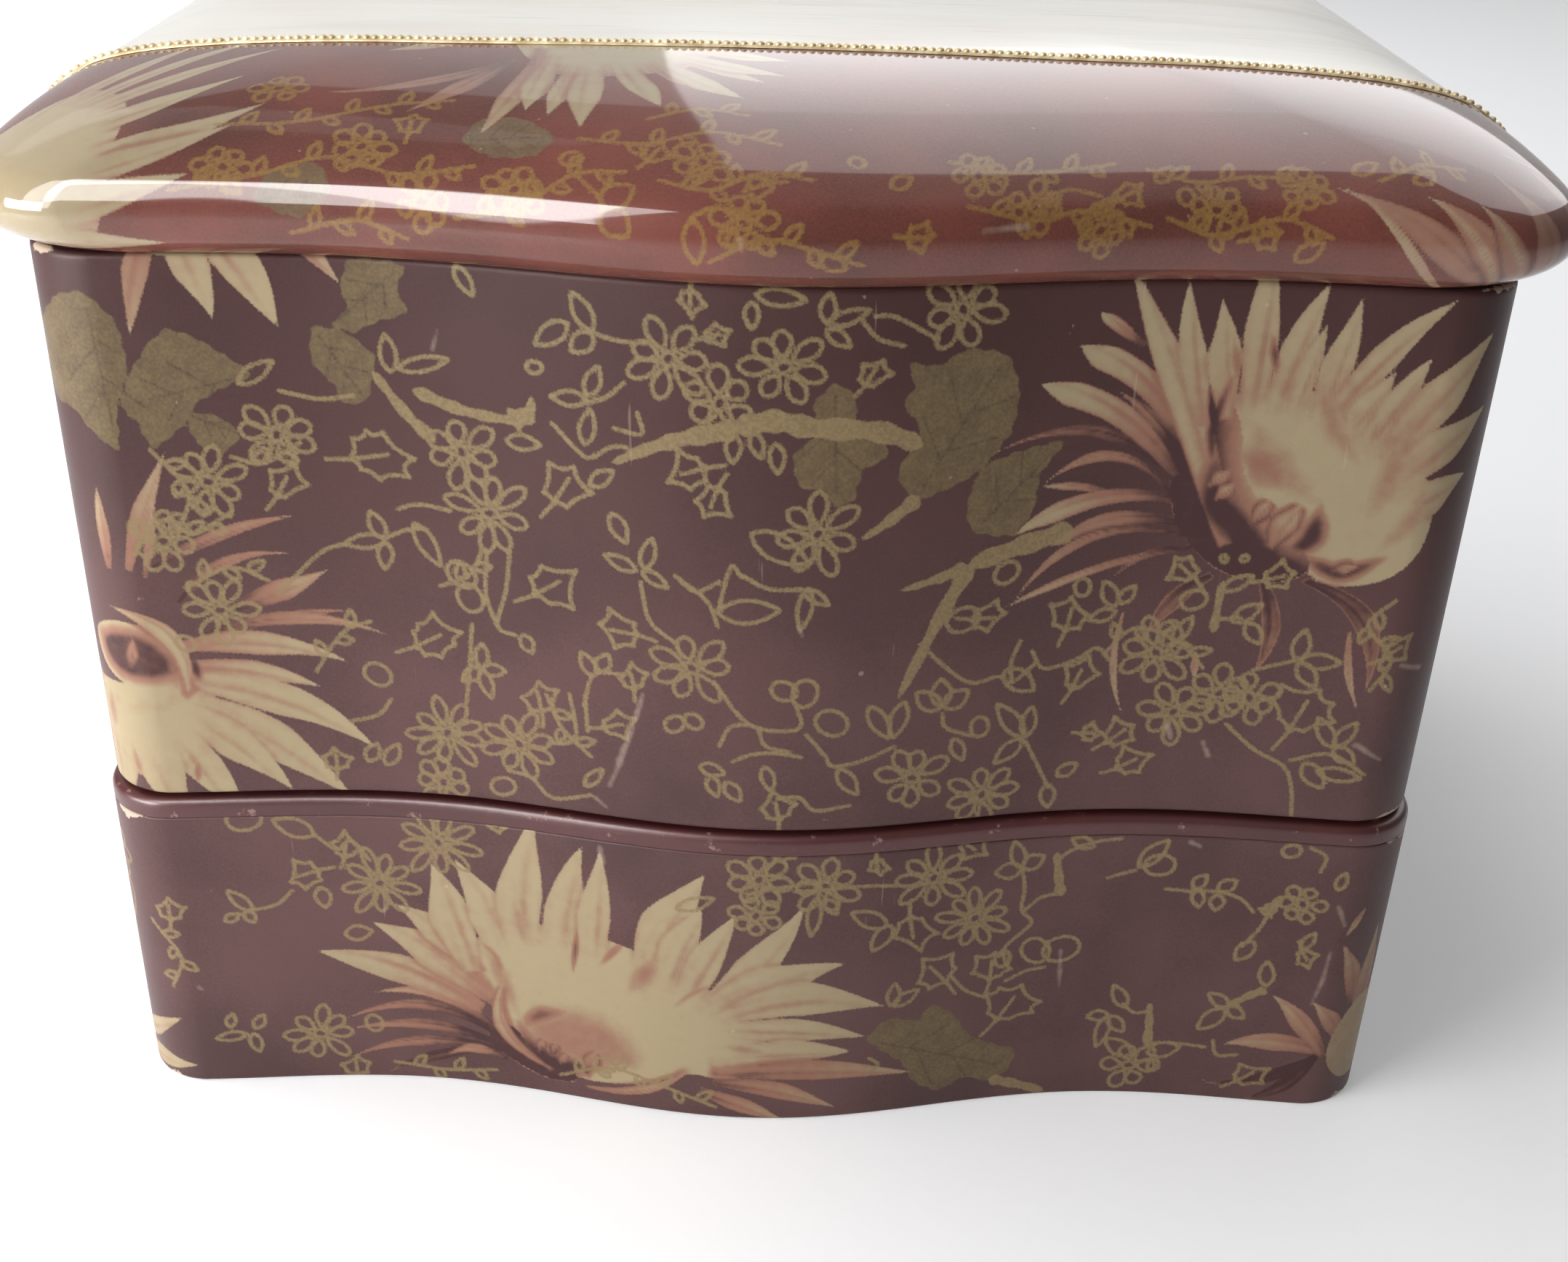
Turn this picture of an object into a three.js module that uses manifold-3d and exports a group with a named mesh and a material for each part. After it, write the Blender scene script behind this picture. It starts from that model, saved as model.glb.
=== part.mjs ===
// Two-tier celluloid keepsake box with a crowned lid, closed.
// Millimetres, +Z up, the serpentine front faces -Y and the flat back faces +Y.
// The lower tray carries the upper tray on two rear hinges, and the upper tray carries the lid the same way.
import * as THREE from 'three';
import { mergeVertices } from 'three/addons/utils/BufferGeometryUtils.js';
import Module from 'manifold-3d';

const wasm = await Module();
wasm.setup();

// Plan of the trays
const BODY_WIDTH = 190;
const BODY_DEPTH = 165; // front corners to the flat back
const FRONT_BOW = 5.5; // how far the middle of the front stands ahead of the corners
const FLANK_HOLLOW = 4.5; // hollowing of the front between the middle and the corners
const BODY_CORNER = 10; // plan radius of the upright corners
const UPPER_SETBACK = 0.8; // the upper tray is this much smaller at the front and sides

// Heights
const LOWER_HEIGHT = 51.6;
const TRAY_SEAM = 0.8; // open line between the trays
const UPPER_HEIGHT = 78.2;
const LID_SEAM = 0.5; // open line under the lid

// Boards, paper and lining
const WALL = 5;
const BOTTOM_BOARD = 4;
const FLOOR_BOARD = 3;
const JOINT_LAND = 1.5; // straight wall beyond a corner before its joint
const PAPER = 0.6;
const LINING = 1.2;
const PAD_HEIGHT = 6;
const PAD_EDGE = 2.5; // height of a pad's side below its crown
const PAD_ROUND = 9; // how far a pad's crown slopes in from its side
const GAP = 0.25; // seat clearance between neighbouring pieces

// Rim of the lower tray
const RIM_HEIGHT = 4;
const RIM_ROUND = 2.6;

// Lid
const LID_OVERHANG = 5;
const LID_CORNER = 15;
const LIP_RADIUS = 6; // round edge of the lid
const CROWN_RISE = 11; // height of the crown above the round edge
const CROWN_RUN = 14.8; // how quickly the crown levels off
const SIDE_SHARE = 0.72; // of the crown's run, taken at the lid's sides
const LID_HOLLOW = 9; // depth of the padded recess under the lid
const LID_PAD = 7.5;
const PANEL_FRONT_BORDER = 35;
const PANEL_SIDE_BORDER = 2.5;
const PANEL_BACK_BORDER = 25;
const PANEL_CORNER = 4;
const TRIM_WIDTH = 1.5;
const TRIM_HEIGHT = 0.9;

// Hinges
const HINGE_SPREAD = 104; // between the middles of a pair
const HINGE_WIDTH = 26;
const LEAF_HEIGHT = 10.5;
const LEAF = 0.9;
const BARREL_RADIUS = 1.8;
const PIN_RADIUS = 0.9;
const END_KNUCKLE = 8;
const TACK_SPACING = 15;
const TACK_DROP = 6.5; // from the hinge axis to the tacks
const TACK_HEAD = 1.4;
const TACK_HEAD_HEIGHT = 0.6;
const TACK_SHANK = 0.55;
const TACK_LENGTH = 4;

// Facets
const FRONT_STEPS = 20;
const CORNER_STEPS = 4;
const LIP_STEPS = 3; // in each half of the lip, below and above its widest line
const CROWN_STEPS = 6;
const ROUND_STEPS = 3;
const HINGE_SIDES = 12;
const TACK_SIDES = 6;
const TIGHTEST_CORNER = 1.5;

// Levels and plans worked out from the sizes above
const front = -BODY_DEPTH / 2;
const back = BODY_DEPTH / 2;
const upperFloor = LOWER_HEIGHT + TRAY_SEAM;
const upperTop = upperFloor + UPPER_HEIGHT;
const lidBottom = upperTop + LID_SEAM;
const wallOuter = PAPER + GAP;
const wallInner = wallOuter + WALL;
const liningOuter = wallInner + GAP;
const liningInner = liningOuter + LINING;
const padOuter = liningInner + GAP;

// A plan's corners tighten with its inset by cornerGain -1, or open out as the crowned lid's do
const lowerPlan = { half: BODY_WIDTH / 2, front, back, corner: BODY_CORNER, cornerGain: -1, wave: 1 };
const upperPlan = {
  half: BODY_WIDTH / 2 - UPPER_SETBACK,
  front: front + UPPER_SETBACK,
  back,
  corner: BODY_CORNER,
  cornerGain: -1,
  wave: 1,
};
const lidPlan = {
  half: BODY_WIDTH / 2 + LID_OVERHANG,
  front: front - LID_OVERHANG,
  back: back + LID_OVERHANG,
  corner: LID_CORNER,
  cornerGain: 0.5,
  wave: 1,
};
const panelPlan = {
  half: lidPlan.half - PANEL_SIDE_BORDER,
  front: lidPlan.front + PANEL_FRONT_BORDER,
  back: back - PANEL_BACK_BORDER,
  corner: PANEL_CORNER,
  cornerGain: -1,
  wave: 0,
};

const printed = new THREE.MeshStandardMaterial({ color: 0x62464b, roughness: 0.55 });
const lidPrinted = new THREE.MeshStandardMaterial({ color: 0x6e3c32, roughness: 0.2 });
const rimRed = new THREE.MeshStandardMaterial({ color: 0x4a1d1c, roughness: 0.3 });
const board = new THREE.MeshStandardMaterial({ color: 0xb9a27c, roughness: 0.8 });
const sateen = new THREE.MeshStandardMaterial({ color: 0xc9a45e, roughness: 0.45 });
const celluloid = new THREE.MeshStandardMaterial({ color: 0xe9dfc8, roughness: 0.15 });
const gilt = new THREE.MeshStandardMaterial({ color: 0xb08a45, roughness: 0.35, metalness: 0.9 });
const brass = new THREE.MeshStandardMaterial({ color: 0xa8874a, roughness: 0.4, metalness: 1 });

const group = new THREE.Group();

function add(name, geometry, material) {
  const mesh = new THREE.Mesh(geometry, material);
  mesh.name = name;
  group.add(mesh);
  return mesh;
}

// Boolean solids

function solid(geometry) {
  const bare = geometry.clone();
  bare.deleteAttribute('normal');
  bare.deleteAttribute('uv');
  const merged = mergeVertices(bare);
  const vertProperties = Float32Array.from(merged.attributes.position.array);
  const triVerts = Uint32Array.from(merged.index.array);
  return new wasm.Manifold(new wasm.Mesh({ numProp: 3, vertProperties, triVerts }));
}

function geometryOf(manifold) {
  const mesh = manifold.getMesh();
  const geometry = new THREE.BufferGeometry();
  geometry.setAttribute('position', new THREE.BufferAttribute(Float32Array.from(mesh.vertProperties), 3));
  geometry.setIndex(new THREE.BufferAttribute(Uint32Array.from(mesh.triVerts), 1));
  geometry.computeVertexNormals();
  return geometry;
}

function block(x0, x1, y0, y1, z0, z1) {
  const geometry = new THREE.BoxGeometry(x1 - x0, y1 - y0, z1 - z0);
  return geometry.translate((x0 + x1) / 2, (y0 + y1) / 2, (z0 + z1) / 2);
}

function rodAlongX(radius, x0, x1) {
  const geometry = new THREE.CylinderGeometry(radius, radius, x1 - x0, HINGE_SIDES);
  return geometry.rotateZ(Math.PI / 2).translate((x0 + x1) / 2, 0, 0);
}

// Plan outlines: anticlockwise from the left end of the front, always the same number of points

function serpentine(share) {
  const bow = (FRONT_BOW / 2) * (1 + Math.cos(Math.PI * share));
  const hollow = (FLANK_HOLLOW / 2) * (1 - Math.cos(2 * Math.PI * share));
  return bow - hollow;
}

// A corner follows its inset and never takes more than the room that the inset leaves
function cornerRadius(plan, inset) {
  const room = 0.9 * (Math.min(plan.half, (plan.back - plan.front) / 2) - inset);
  return Math.max(TIGHTEST_CORNER, Math.min(room, plan.corner + plan.cornerGain * inset));
}

function arc(centreX, centreY, radius, fromTurn, skip) {
  const points = [];
  for (let i = skip; i <= CORNER_STEPS; i += 1) {
    const angle = (Math.PI / 2) * (fromTurn + i / CORNER_STEPS);
    points.push(new THREE.Vector2(centreX + radius * Math.cos(angle), centreY + radius * Math.sin(angle)));
  }
  return points;
}

function outlineRuns(plan, inset, side = inset) {
  const half = plan.half - side;
  const radius = cornerRadius(plan, inset);
  const reach = half - radius;
  const face = [];
  for (let i = 0; i <= FRONT_STEPS; i += 1) {
    const x = reach * (-1 + (2 * i) / FRONT_STEPS);
    face.push(new THREE.Vector2(x, plan.front + inset - plan.wave * serpentine(x / plan.half)));
  }
  const cornerY = face[0].y + radius;
  const rear = plan.back - inset - radius;
  return {
    face,
    frontRight: arc(reach, cornerY, radius, -1, 1),
    backRight: arc(reach, rear, radius, 0, 0),
    backLeft: arc(-reach, rear, radius, 1, 0),
    frontLeft: arc(-reach, cornerY, radius, 2, 0).slice(0, -1),
  };
}

function outline(plan, inset, side = inset) {
  const runs = outlineRuns(plan, inset, side);
  return [...runs.face, ...runs.frontRight, ...runs.backRight, ...runs.backLeft, ...runs.frontLeft];
}

function extrude(points, z0, z1, hole = null) {
  const shape = new THREE.Shape(points);
  if (hole) shape.holes.push(new THREE.Path([...hole].reverse()));
  const geometry = new THREE.ExtrudeGeometry(shape, { depth: z1 - z0, bevelEnabled: false });
  return geometry.translate(0, 0, z0);
}

function plate(plan, inset, z0, z1) {
  return extrude(outline(plan, inset), z0, z1);
}

function band(plan, outer, inner, z0, z1) {
  return extrude(outline(plan, outer), z0, z1, outline(plan, inner));
}

// A closed skin through a stack of outlines at given insets and heights, flat at both ends
function loft(stack) {
  const rings = stack.map(({ plan, inset, side, z }) => ({ points: outline(plan, inset, side), z }));
  const count = rings[0].points.length;
  const positions = rings.flatMap(({ points, z }) => points.flatMap((point) => [point.x, point.y, z]));
  const indices = [];
  for (let k = 0; k < rings.length - 1; k += 1) {
    for (let i = 0; i < count; i += 1) {
      const a = k * count + i;
      const b = k * count + ((i + 1) % count);
      indices.push(a, b, b + count, a, b + count, a + count);
    }
  }
  const last = (rings.length - 1) * count;
  THREE.ShapeUtils.triangulateShape(rings[0].points, []).forEach(([a, b, c]) => indices.push(a, c, b));
  THREE.ShapeUtils.triangulateShape(rings.at(-1).points, []).forEach(([a, b, c]) => {
    indices.push(last + a, last + b, last + c);
  });
  const geometry = new THREE.BufferGeometry();
  geometry.setAttribute('position', new THREE.Float32BufferAttribute(positions, 3));
  geometry.setIndex(indices);
  geometry.computeVertexNormals();
  return geometry;
}

// Hinge stations: where the leaves, pins and tacks sit

const hingeAxisY = back + GAP + BARREL_RADIUS;
const trayAxisZ = LOWER_HEIGHT + TRAY_SEAM / 2;
const lidAxisZ = upperTop + LID_SEAM / 2;
const hingeSides = { left: -HINGE_SPREAD / 2, right: HINGE_SPREAD / 2 };

function tackHoles(z) {
  const holes = [];
  Object.values(hingeSides).forEach((x) => {
    [-TACK_SPACING / 2, TACK_SPACING / 2].forEach((offset) => {
      const length = TACK_LENGTH + 2 * GAP;
      const hole = new THREE.CylinderGeometry(TACK_SHANK + GAP, TACK_SHANK + GAP, length, TACK_SIDES);
      holes.push(solid(hole.translate(x + offset, back + GAP - length / 2, z)));
    });
  });
  return holes;
}

function drilled(geometry, heights) {
  const holes = heights.flatMap((z) => tackHoles(z));
  return geometryOf(holes.reduce((piece, hole) => piece.subtract(hole), solid(geometry)));
}

// Trays: wall boards with joints just past the round corners, a printed cover and a card lining

function addWalls(name, plan, z0, z1, tackHeights) {
  const outer = outlineRuns(plan, wallOuter);
  const inner = outlineRuns(plan, wallInner);
  const land = Math.max(plan.corner, wallInner + TIGHTEST_CORNER) + JOINT_LAND;
  const frontJoint = plan.front + land;
  const backJoint = plan.back - land;
  const outerHalf = plan.half - wallOuter;
  const innerHalf = plan.half - wallInner;

  const frontBoard = [
    new THREE.Vector2(-outerHalf, frontJoint),
    ...outer.frontLeft,
    ...outer.face,
    ...outer.frontRight,
    new THREE.Vector2(outerHalf, frontJoint),
    new THREE.Vector2(innerHalf, frontJoint),
    ...[...inner.frontLeft, ...inner.face, ...inner.frontRight].reverse(),
    new THREE.Vector2(-innerHalf, frontJoint),
  ];
  const backBoard = [
    new THREE.Vector2(outerHalf, backJoint),
    ...outer.backRight,
    ...outer.backLeft,
    new THREE.Vector2(-outerHalf, backJoint),
    new THREE.Vector2(-innerHalf, backJoint),
    ...[...inner.backRight, ...inner.backLeft].reverse(),
    new THREE.Vector2(innerHalf, backJoint),
  ];
  add(`${name}_front_wall`, extrude(frontBoard, z0, z1), board);
  add(`${name}_back_wall`, drilled(extrude(backBoard, z0, z1), tackHeights), board);
  const sideStart = frontJoint + GAP;
  const sideEnd = backJoint - GAP;
  add(`${name}_left_wall`, block(-outerHalf, -innerHalf, sideStart, sideEnd, z0, z1), board);
  add(`${name}_right_wall`, block(innerHalf, outerHalf, sideStart, sideEnd, z0, z1), board);
}

function padStack(plan, z0, height) {
  const top = z0 + height;
  return [
    { plan, inset: padOuter + GAP, z: z0 },
    { plan, inset: padOuter, z: z0 + PAD_EDGE / 2 },
    { plan, inset: padOuter, z: z0 + PAD_EDGE },
    { plan, inset: padOuter + PAD_ROUND / 3, z: z0 + PAD_EDGE + (top - z0 - PAD_EDGE) * 0.75 },
    { plan, inset: padOuter + PAD_ROUND, z: top },
  ];
}

function addLowerTray() {
  const wallTop = LOWER_HEIGHT - RIM_HEIGHT - GAP;
  add('lower_bottom_board', plate(lowerPlan, wallOuter, 0, BOTTOM_BOARD), board);
  addWalls('lower', lowerPlan, BOTTOM_BOARD + GAP, wallTop, [trayAxisZ - TACK_DROP]);
  const cover = band(lowerPlan, 0, PAPER, GAP, wallTop);
  add('lower_print_cover', drilled(cover, [trayAxisZ - TACK_DROP]), printed);
  const lining = band(lowerPlan, liningOuter, liningInner, BOTTOM_BOARD + GAP, LOWER_HEIGHT - GAP);
  add('lower_lining', lining, sateen);
  add('lower_floor_pad', loft(padStack(lowerPlan, BOTTOM_BOARD + GAP, PAD_HEIGHT)), sateen);
}

// The rim is a ring: up its inner side, over the round outer edge and back under
function addRim() {
  const base = LOWER_HEIGHT - RIM_HEIGHT;
  const outer = [{ plan: lowerPlan, inset: 0, z: base }];
  for (let i = 0; i <= ROUND_STEPS; i += 1) {
    const angle = ((Math.PI / 2) * i) / ROUND_STEPS;
    outer.push({
      plan: lowerPlan,
      inset: RIM_ROUND * (1 - Math.cos(angle)),
      z: LOWER_HEIGHT - RIM_ROUND * (1 - Math.sin(angle)),
    });
  }
  const core = plate(lowerPlan, wallInner, base - RIM_HEIGHT, LOWER_HEIGHT + RIM_HEIGHT);
  add('lower_rim', geometryOf(solid(loft(outer)).subtract(solid(core))), rimRed);
}

function addUpperTray() {
  const wallBase = upperFloor + FLOOR_BOARD + GAP;
  const tackHeights = [trayAxisZ + TACK_DROP, lidAxisZ - TACK_DROP];
  add('upper_floor_board', plate(upperPlan, wallOuter, upperFloor, upperFloor + FLOOR_BOARD), board);
  addWalls('upper', upperPlan, wallBase, upperTop, tackHeights);
  add('upper_print_cover', drilled(band(upperPlan, 0, PAPER, upperFloor, upperTop), tackHeights), printed);
  add('upper_lining', band(upperPlan, liningOuter, liningInner, wallBase, upperTop), sateen);
  add('upper_floor_pad', loft(padStack(upperPlan, wallBase, PAD_HEIGHT)), sateen);
}

// Lid: a round lip that runs tangent into a crown that levels off towards the middle

const lipCentre = lidBottom + LIP_RADIUS;
const lipTurn = Math.atan(CROWN_RUN / CROWN_RISE); // where the lip is as steep as the crown's start
const crownStart = LIP_RADIUS * (1 - Math.cos(lipTurn));
const crownFoot = lipCentre + LIP_RADIUS * Math.sin(lipTurn);
const crownReach = 0.8 * Math.min(lidPlan.half, (lidPlan.back - lidPlan.front) / 2);

// A point of the lid sunk square to its surface, which is steeper at the sides than at the front
function sunkPoint(inset, z, slope, sunk) {
  const steeper = slope / SIDE_SHARE;
  const drop = sunk / Math.hypot(1, slope);
  return {
    plan: lidPlan,
    inset: inset + slope * drop,
    side: SIDE_SHARE * inset + (sunk * Math.hypot(1, steeper) - drop) / steeper,
    z: z - drop,
  };
}

// Insets and heights of the lid's surface from its underside to its middle, sunk by a depth
function lidProfile(sunk) {
  const profile = [];
  const radius = LIP_RADIUS - sunk;
  for (let i = -LIP_STEPS; i <= 0; i += 1) {
    const angle = (Math.PI / 2) * (i / LIP_STEPS);
    profile.push({
      plan: lidPlan,
      inset: LIP_RADIUS - radius * Math.cos(angle),
      z: lipCentre + radius * Math.sin(angle),
    });
  }
  for (let i = 1; i <= LIP_STEPS; i += 1) {
    const angle = lipTurn * (i / LIP_STEPS);
    const inset = LIP_RADIUS * (1 - Math.cos(angle));
    profile.push(sunkPoint(inset, lipCentre + LIP_RADIUS * Math.sin(angle), 1 / Math.tan(angle), sunk));
  }
  for (let i = 1; i <= CROWN_STEPS; i += 1) {
    const along = (crownReach - crownStart) * (i / CROWN_STEPS) ** 2;
    const fall = Math.exp(-along / CROWN_RUN);
    const slope = (CROWN_RISE / CROWN_RUN) * fall;
    profile.push(sunkPoint(crownStart + along, crownFoot + CROWN_RISE * (1 - fall), slope, sunk));
  }
  return profile;
}

// The skin between two depths below the lid's surface, open underneath
function lidSkin(outerDepth, innerDepth) {
  return solid(loft([...lidProfile(innerDepth).reverse(), ...lidProfile(outerDepth)]));
}

function panelPrism(inset) {
  return solid(plate(panelPlan, inset, lipCentre, crownFoot + 2 * CROWN_RISE));
}

// A slab across the lid's whole width and height, between two planes of depth
function crossSlab(y0, y1) {
  return solid(block(-2 * lidPlan.half, 2 * lidPlan.half, y0, y1, 0, 2 * lidBottom));
}

// The lid stops flat at the back, where the cover turns down over the core
function addLid() {
  const beyond = lidPlan.back + LIP_RADIUS;
  const recess = { plan: upperPlan, inset: wallInner };
  const foot = { plan: lidPlan, inset: LIP_RADIUS + GAP };
  const coreStack = [
    { ...recess, z: lidBottom + LID_HOLLOW },
    { ...recess, z: lidBottom },
    { ...foot, z: lidBottom },
    { ...foot, z: lidBottom + PAPER + GAP },
    ...lidProfile(PAPER + GAP),
  ];
  const core = solid(loft(coreStack)).subtract(crossSlab(back - PAPER - GAP, beyond));
  add('lid_core', drilled(geometryOf(core), [lidAxisZ + TACK_DROP]), board);

  const skin = lidSkin(0, PAPER);
  const backFlap = solid(loft(lidProfile(0))).intersect(crossSlab(back - PAPER, back));
  const cover = skin.subtract(panelPrism(-GAP / 2)).subtract(crossSlab(back, beyond)).add(backFlap);
  add('lid_print_cover', drilled(geometryOf(cover), [lidAxisZ + TACK_DROP]), lidPrinted);
  add('lid_panel', geometryOf(skin.intersect(panelPrism(GAP / 2))), celluloid);

  const strip = panelPrism(-TRIM_WIDTH / 2).subtract(panelPrism(TRIM_WIDTH / 2));
  add('lid_trim', geometryOf(lidSkin(-GAP - TRIM_HEIGHT, -GAP).intersect(strip)), gilt);

  const ceiling = lidBottom + LID_HOLLOW - GAP;
  const padSide = wallInner + GAP;
  const pad = loft([
    { plan: upperPlan, inset: padSide + PAD_ROUND, z: ceiling - LID_PAD },
    { plan: upperPlan, inset: padSide + PAD_ROUND / 3, z: ceiling - PAD_EDGE - (LID_PAD - PAD_EDGE) * 0.75 },
    { plan: upperPlan, inset: padSide, z: ceiling - PAD_EDGE },
    { plan: upperPlan, inset: padSide, z: ceiling },
  ]);
  add('lid_pad', pad, sateen);
}

// Hinges: two leaves tacked to the back, end knuckles on the lower leaf, a middle one on the upper

function leafGeometry(up, knuckles) {
  const half = HINGE_WIDTH / 2;
  const inner = -BARREL_RADIUS;
  const outer = inner + LEAF;
  const clear = BARREL_RADIUS + GAP;
  const flat = (x0, x1, from, to) => {
    return solid(block(x0, x1, inner, outer, Math.min(up * from, up * to), Math.max(up * from, up * to)));
  };
  let leaf = flat(-half, half, clear, LEAF_HEIGHT);
  knuckles.forEach(([x0, x1]) => {
    leaf = leaf.add(flat(x0, x1, 0, clear + LEAF)).add(solid(rodAlongX(BARREL_RADIUS, x0, x1)));
  });
  leaf = leaf.subtract(solid(rodAlongX(PIN_RADIUS + GAP, -half - GAP, half + GAP)));
  [-TACK_SPACING / 2, TACK_SPACING / 2].forEach((x) => {
    const hole = new THREE.CylinderGeometry(TACK_SHANK + GAP, TACK_SHANK + GAP, 4 * LEAF, TACK_SIDES);
    leaf = leaf.subtract(solid(hole.translate(x, inner, up * TACK_DROP)));
  });
  return geometryOf(leaf);
}

// A tack stands along +Y with its head outside the leaf and its shank in the board
function tackGeometry() {
  const profile = [
    [0, 0],
    [TACK_SHANK, 0],
    [TACK_SHANK, TACK_LENGTH],
    [TACK_HEAD, TACK_LENGTH],
    [TACK_HEAD * 0.7, TACK_LENGTH + TACK_HEAD_HEIGHT],
    [0, TACK_LENGTH + TACK_HEAD_HEIGHT],
  ];
  return new THREE.LatheGeometry(profile.map(([r, y]) => new THREE.Vector2(r, y)), TACK_SIDES);
}

function addHinge(name, x, axisZ) {
  const half = HINGE_WIDTH / 2;
  const ends = [[-half, -half + END_KNUCKLE], [half - END_KNUCKLE, half]];
  const middle = [[-half + END_KNUCKLE + GAP, half - END_KNUCKLE - GAP]];
  const pieces = [
    ['lower_leaf', leafGeometry(-1, ends)],
    ['upper_leaf', leafGeometry(1, middle)],
    ['pin', rodAlongX(PIN_RADIUS, -half, half)],
  ];
  pieces.forEach(([part, geometry]) => add(`${name}_${part}`, geometry, brass).position.set(x, hingeAxisY, axisZ));
  const seat = back + GAP + LEAF + GAP - TACK_LENGTH;
  const rows = { lower: axisZ - TACK_DROP, upper: axisZ + TACK_DROP };
  Object.entries(rows).forEach(([row, z]) => {
    [-1, 1].forEach((side) => {
      const tack = add(`${name}_${row}_tack_${side < 0 ? 'a' : 'b'}`, tackGeometry(), brass);
      tack.position.set(x + (side * TACK_SPACING) / 2, seat, z);
    });
  });
}

addLowerTray();
addRim();
addUpperTray();
addLid();
Object.entries(hingeSides).forEach(([side, x]) => {
  addHinge(`tray_hinge_${side}`, x, trayAxisZ);
  addHinge(`lid_hinge_${side}`, x, lidAxisZ);
});

// The origin is under the middle of the whole box, between the lid's bowed front and the hinge barrels
const frontmost = lidPlan.front - FRONT_BOW;
const rearmost = hingeAxisY + BARREL_RADIUS;
group.position.y = -(frontmost + rearmost) / 2;

export default group;
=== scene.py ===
# %% [markdown]
# # A two-tier dresser box in printed paper and celluloid
# The box is two trays and a crowned lid, hinged one above the other at the back. Its boards are covered
# with a paper of cream chrysanthemums and gold-drawn daisies, and the lid carries an ivory panel.
# The solids come first, as a fixed frame: every piece made here is fitted round them, in metres.

# %% Load the fixed frame
import math

import bpy
import numpy as np
from mathutils import Matrix, Vector
from mathutils.kdtree import KDTree


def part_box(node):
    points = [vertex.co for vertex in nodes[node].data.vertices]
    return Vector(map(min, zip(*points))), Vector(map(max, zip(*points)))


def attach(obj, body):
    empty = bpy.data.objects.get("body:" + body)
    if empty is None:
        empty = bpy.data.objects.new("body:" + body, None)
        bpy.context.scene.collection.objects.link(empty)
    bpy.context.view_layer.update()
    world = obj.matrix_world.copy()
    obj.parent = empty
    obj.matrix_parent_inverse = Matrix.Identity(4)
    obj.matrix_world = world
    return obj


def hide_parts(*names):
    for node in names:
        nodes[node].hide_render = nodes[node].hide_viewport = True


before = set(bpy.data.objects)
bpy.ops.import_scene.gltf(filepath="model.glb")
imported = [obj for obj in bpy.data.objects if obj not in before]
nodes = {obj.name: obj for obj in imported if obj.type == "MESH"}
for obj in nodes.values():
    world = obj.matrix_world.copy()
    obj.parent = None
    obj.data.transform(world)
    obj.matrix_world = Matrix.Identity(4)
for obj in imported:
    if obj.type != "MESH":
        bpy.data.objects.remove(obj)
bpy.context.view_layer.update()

MM = 0.001

# %% [markdown]
# ## The camera
# The photograph was taken from close by, a little above the lid and slightly tilted. A camera is three
# turns and a place: yaw about the upright, pitch about the sideways axis and roll about the line of
# sight. Multiplying the turns as matrices keeps each one plain, where one set of Euler angles would mix
# them.

# %% Place the camera
PHOTO_WIDTH = 2156  # pixels
FOCAL_LENGTH = 2540  # pixels
SENSOR_WIDTH = 36.0  # millimetres
CAMERA_PLACE = (-0.0007, -0.2980, 0.1990)
PITCH = math.radians(28.2)
YAW = math.radians(0.76)
ROLL = math.radians(1.8)

bpy.ops.object.select_all(action="DESELECT")
bpy.ops.object.camera_add()
camera = bpy.context.object
camera.name = "front_camera"
camera.data.sensor_width = SENSOR_WIDTH
camera.data.lens = SENSOR_WIDTH * FOCAL_LENGTH / PHOTO_WIDTH
tilt = Matrix.Rotation(math.pi / 2 - PITCH, 4, "X") @ Matrix.Rotation(ROLL, 4, "Z")
aim = Matrix.Rotation(-YAW, 4, "Z") @ tilt
camera.matrix_world = Matrix.Translation(CAMERA_PLACE) @ aim
bpy.context.scene.camera = camera
print("Lens:", round(camera.data.lens, 1), "mm")

# %% [markdown]
# ## The plan of the box
# Seen from above, the front swells in the middle and hollows on each flank, and round corners lead to
# straight sides and a flat back. Every wrapped piece follows this line, so it is one function: it takes
# the distance along the line from the middle of the front, and how far inside the line to go. Columns
# of a wrapped sheet then stay upright on the front and fan out only in the corners, as paper does.

# %% Write the plan as a function
BOW = 5.5 * MM  # how far the middle of the front stands ahead of the corners
HOLLOW = 4.5 * MM  # how far the flanks draw back
TIGHTEST = 1.5 * MM  # smallest corner radius
GAP = 0.25 * MM  # left between parts that must not touch


def serpentine(share):
    """How far the front stands ahead of its corners, at a share of the half width."""
    bow = BOW / 2 * (1 + np.cos(np.pi * share))
    hollow = HOLLOW / 2 * (1 - np.cos(2 * np.pi * share))
    return bow - hollow


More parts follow.
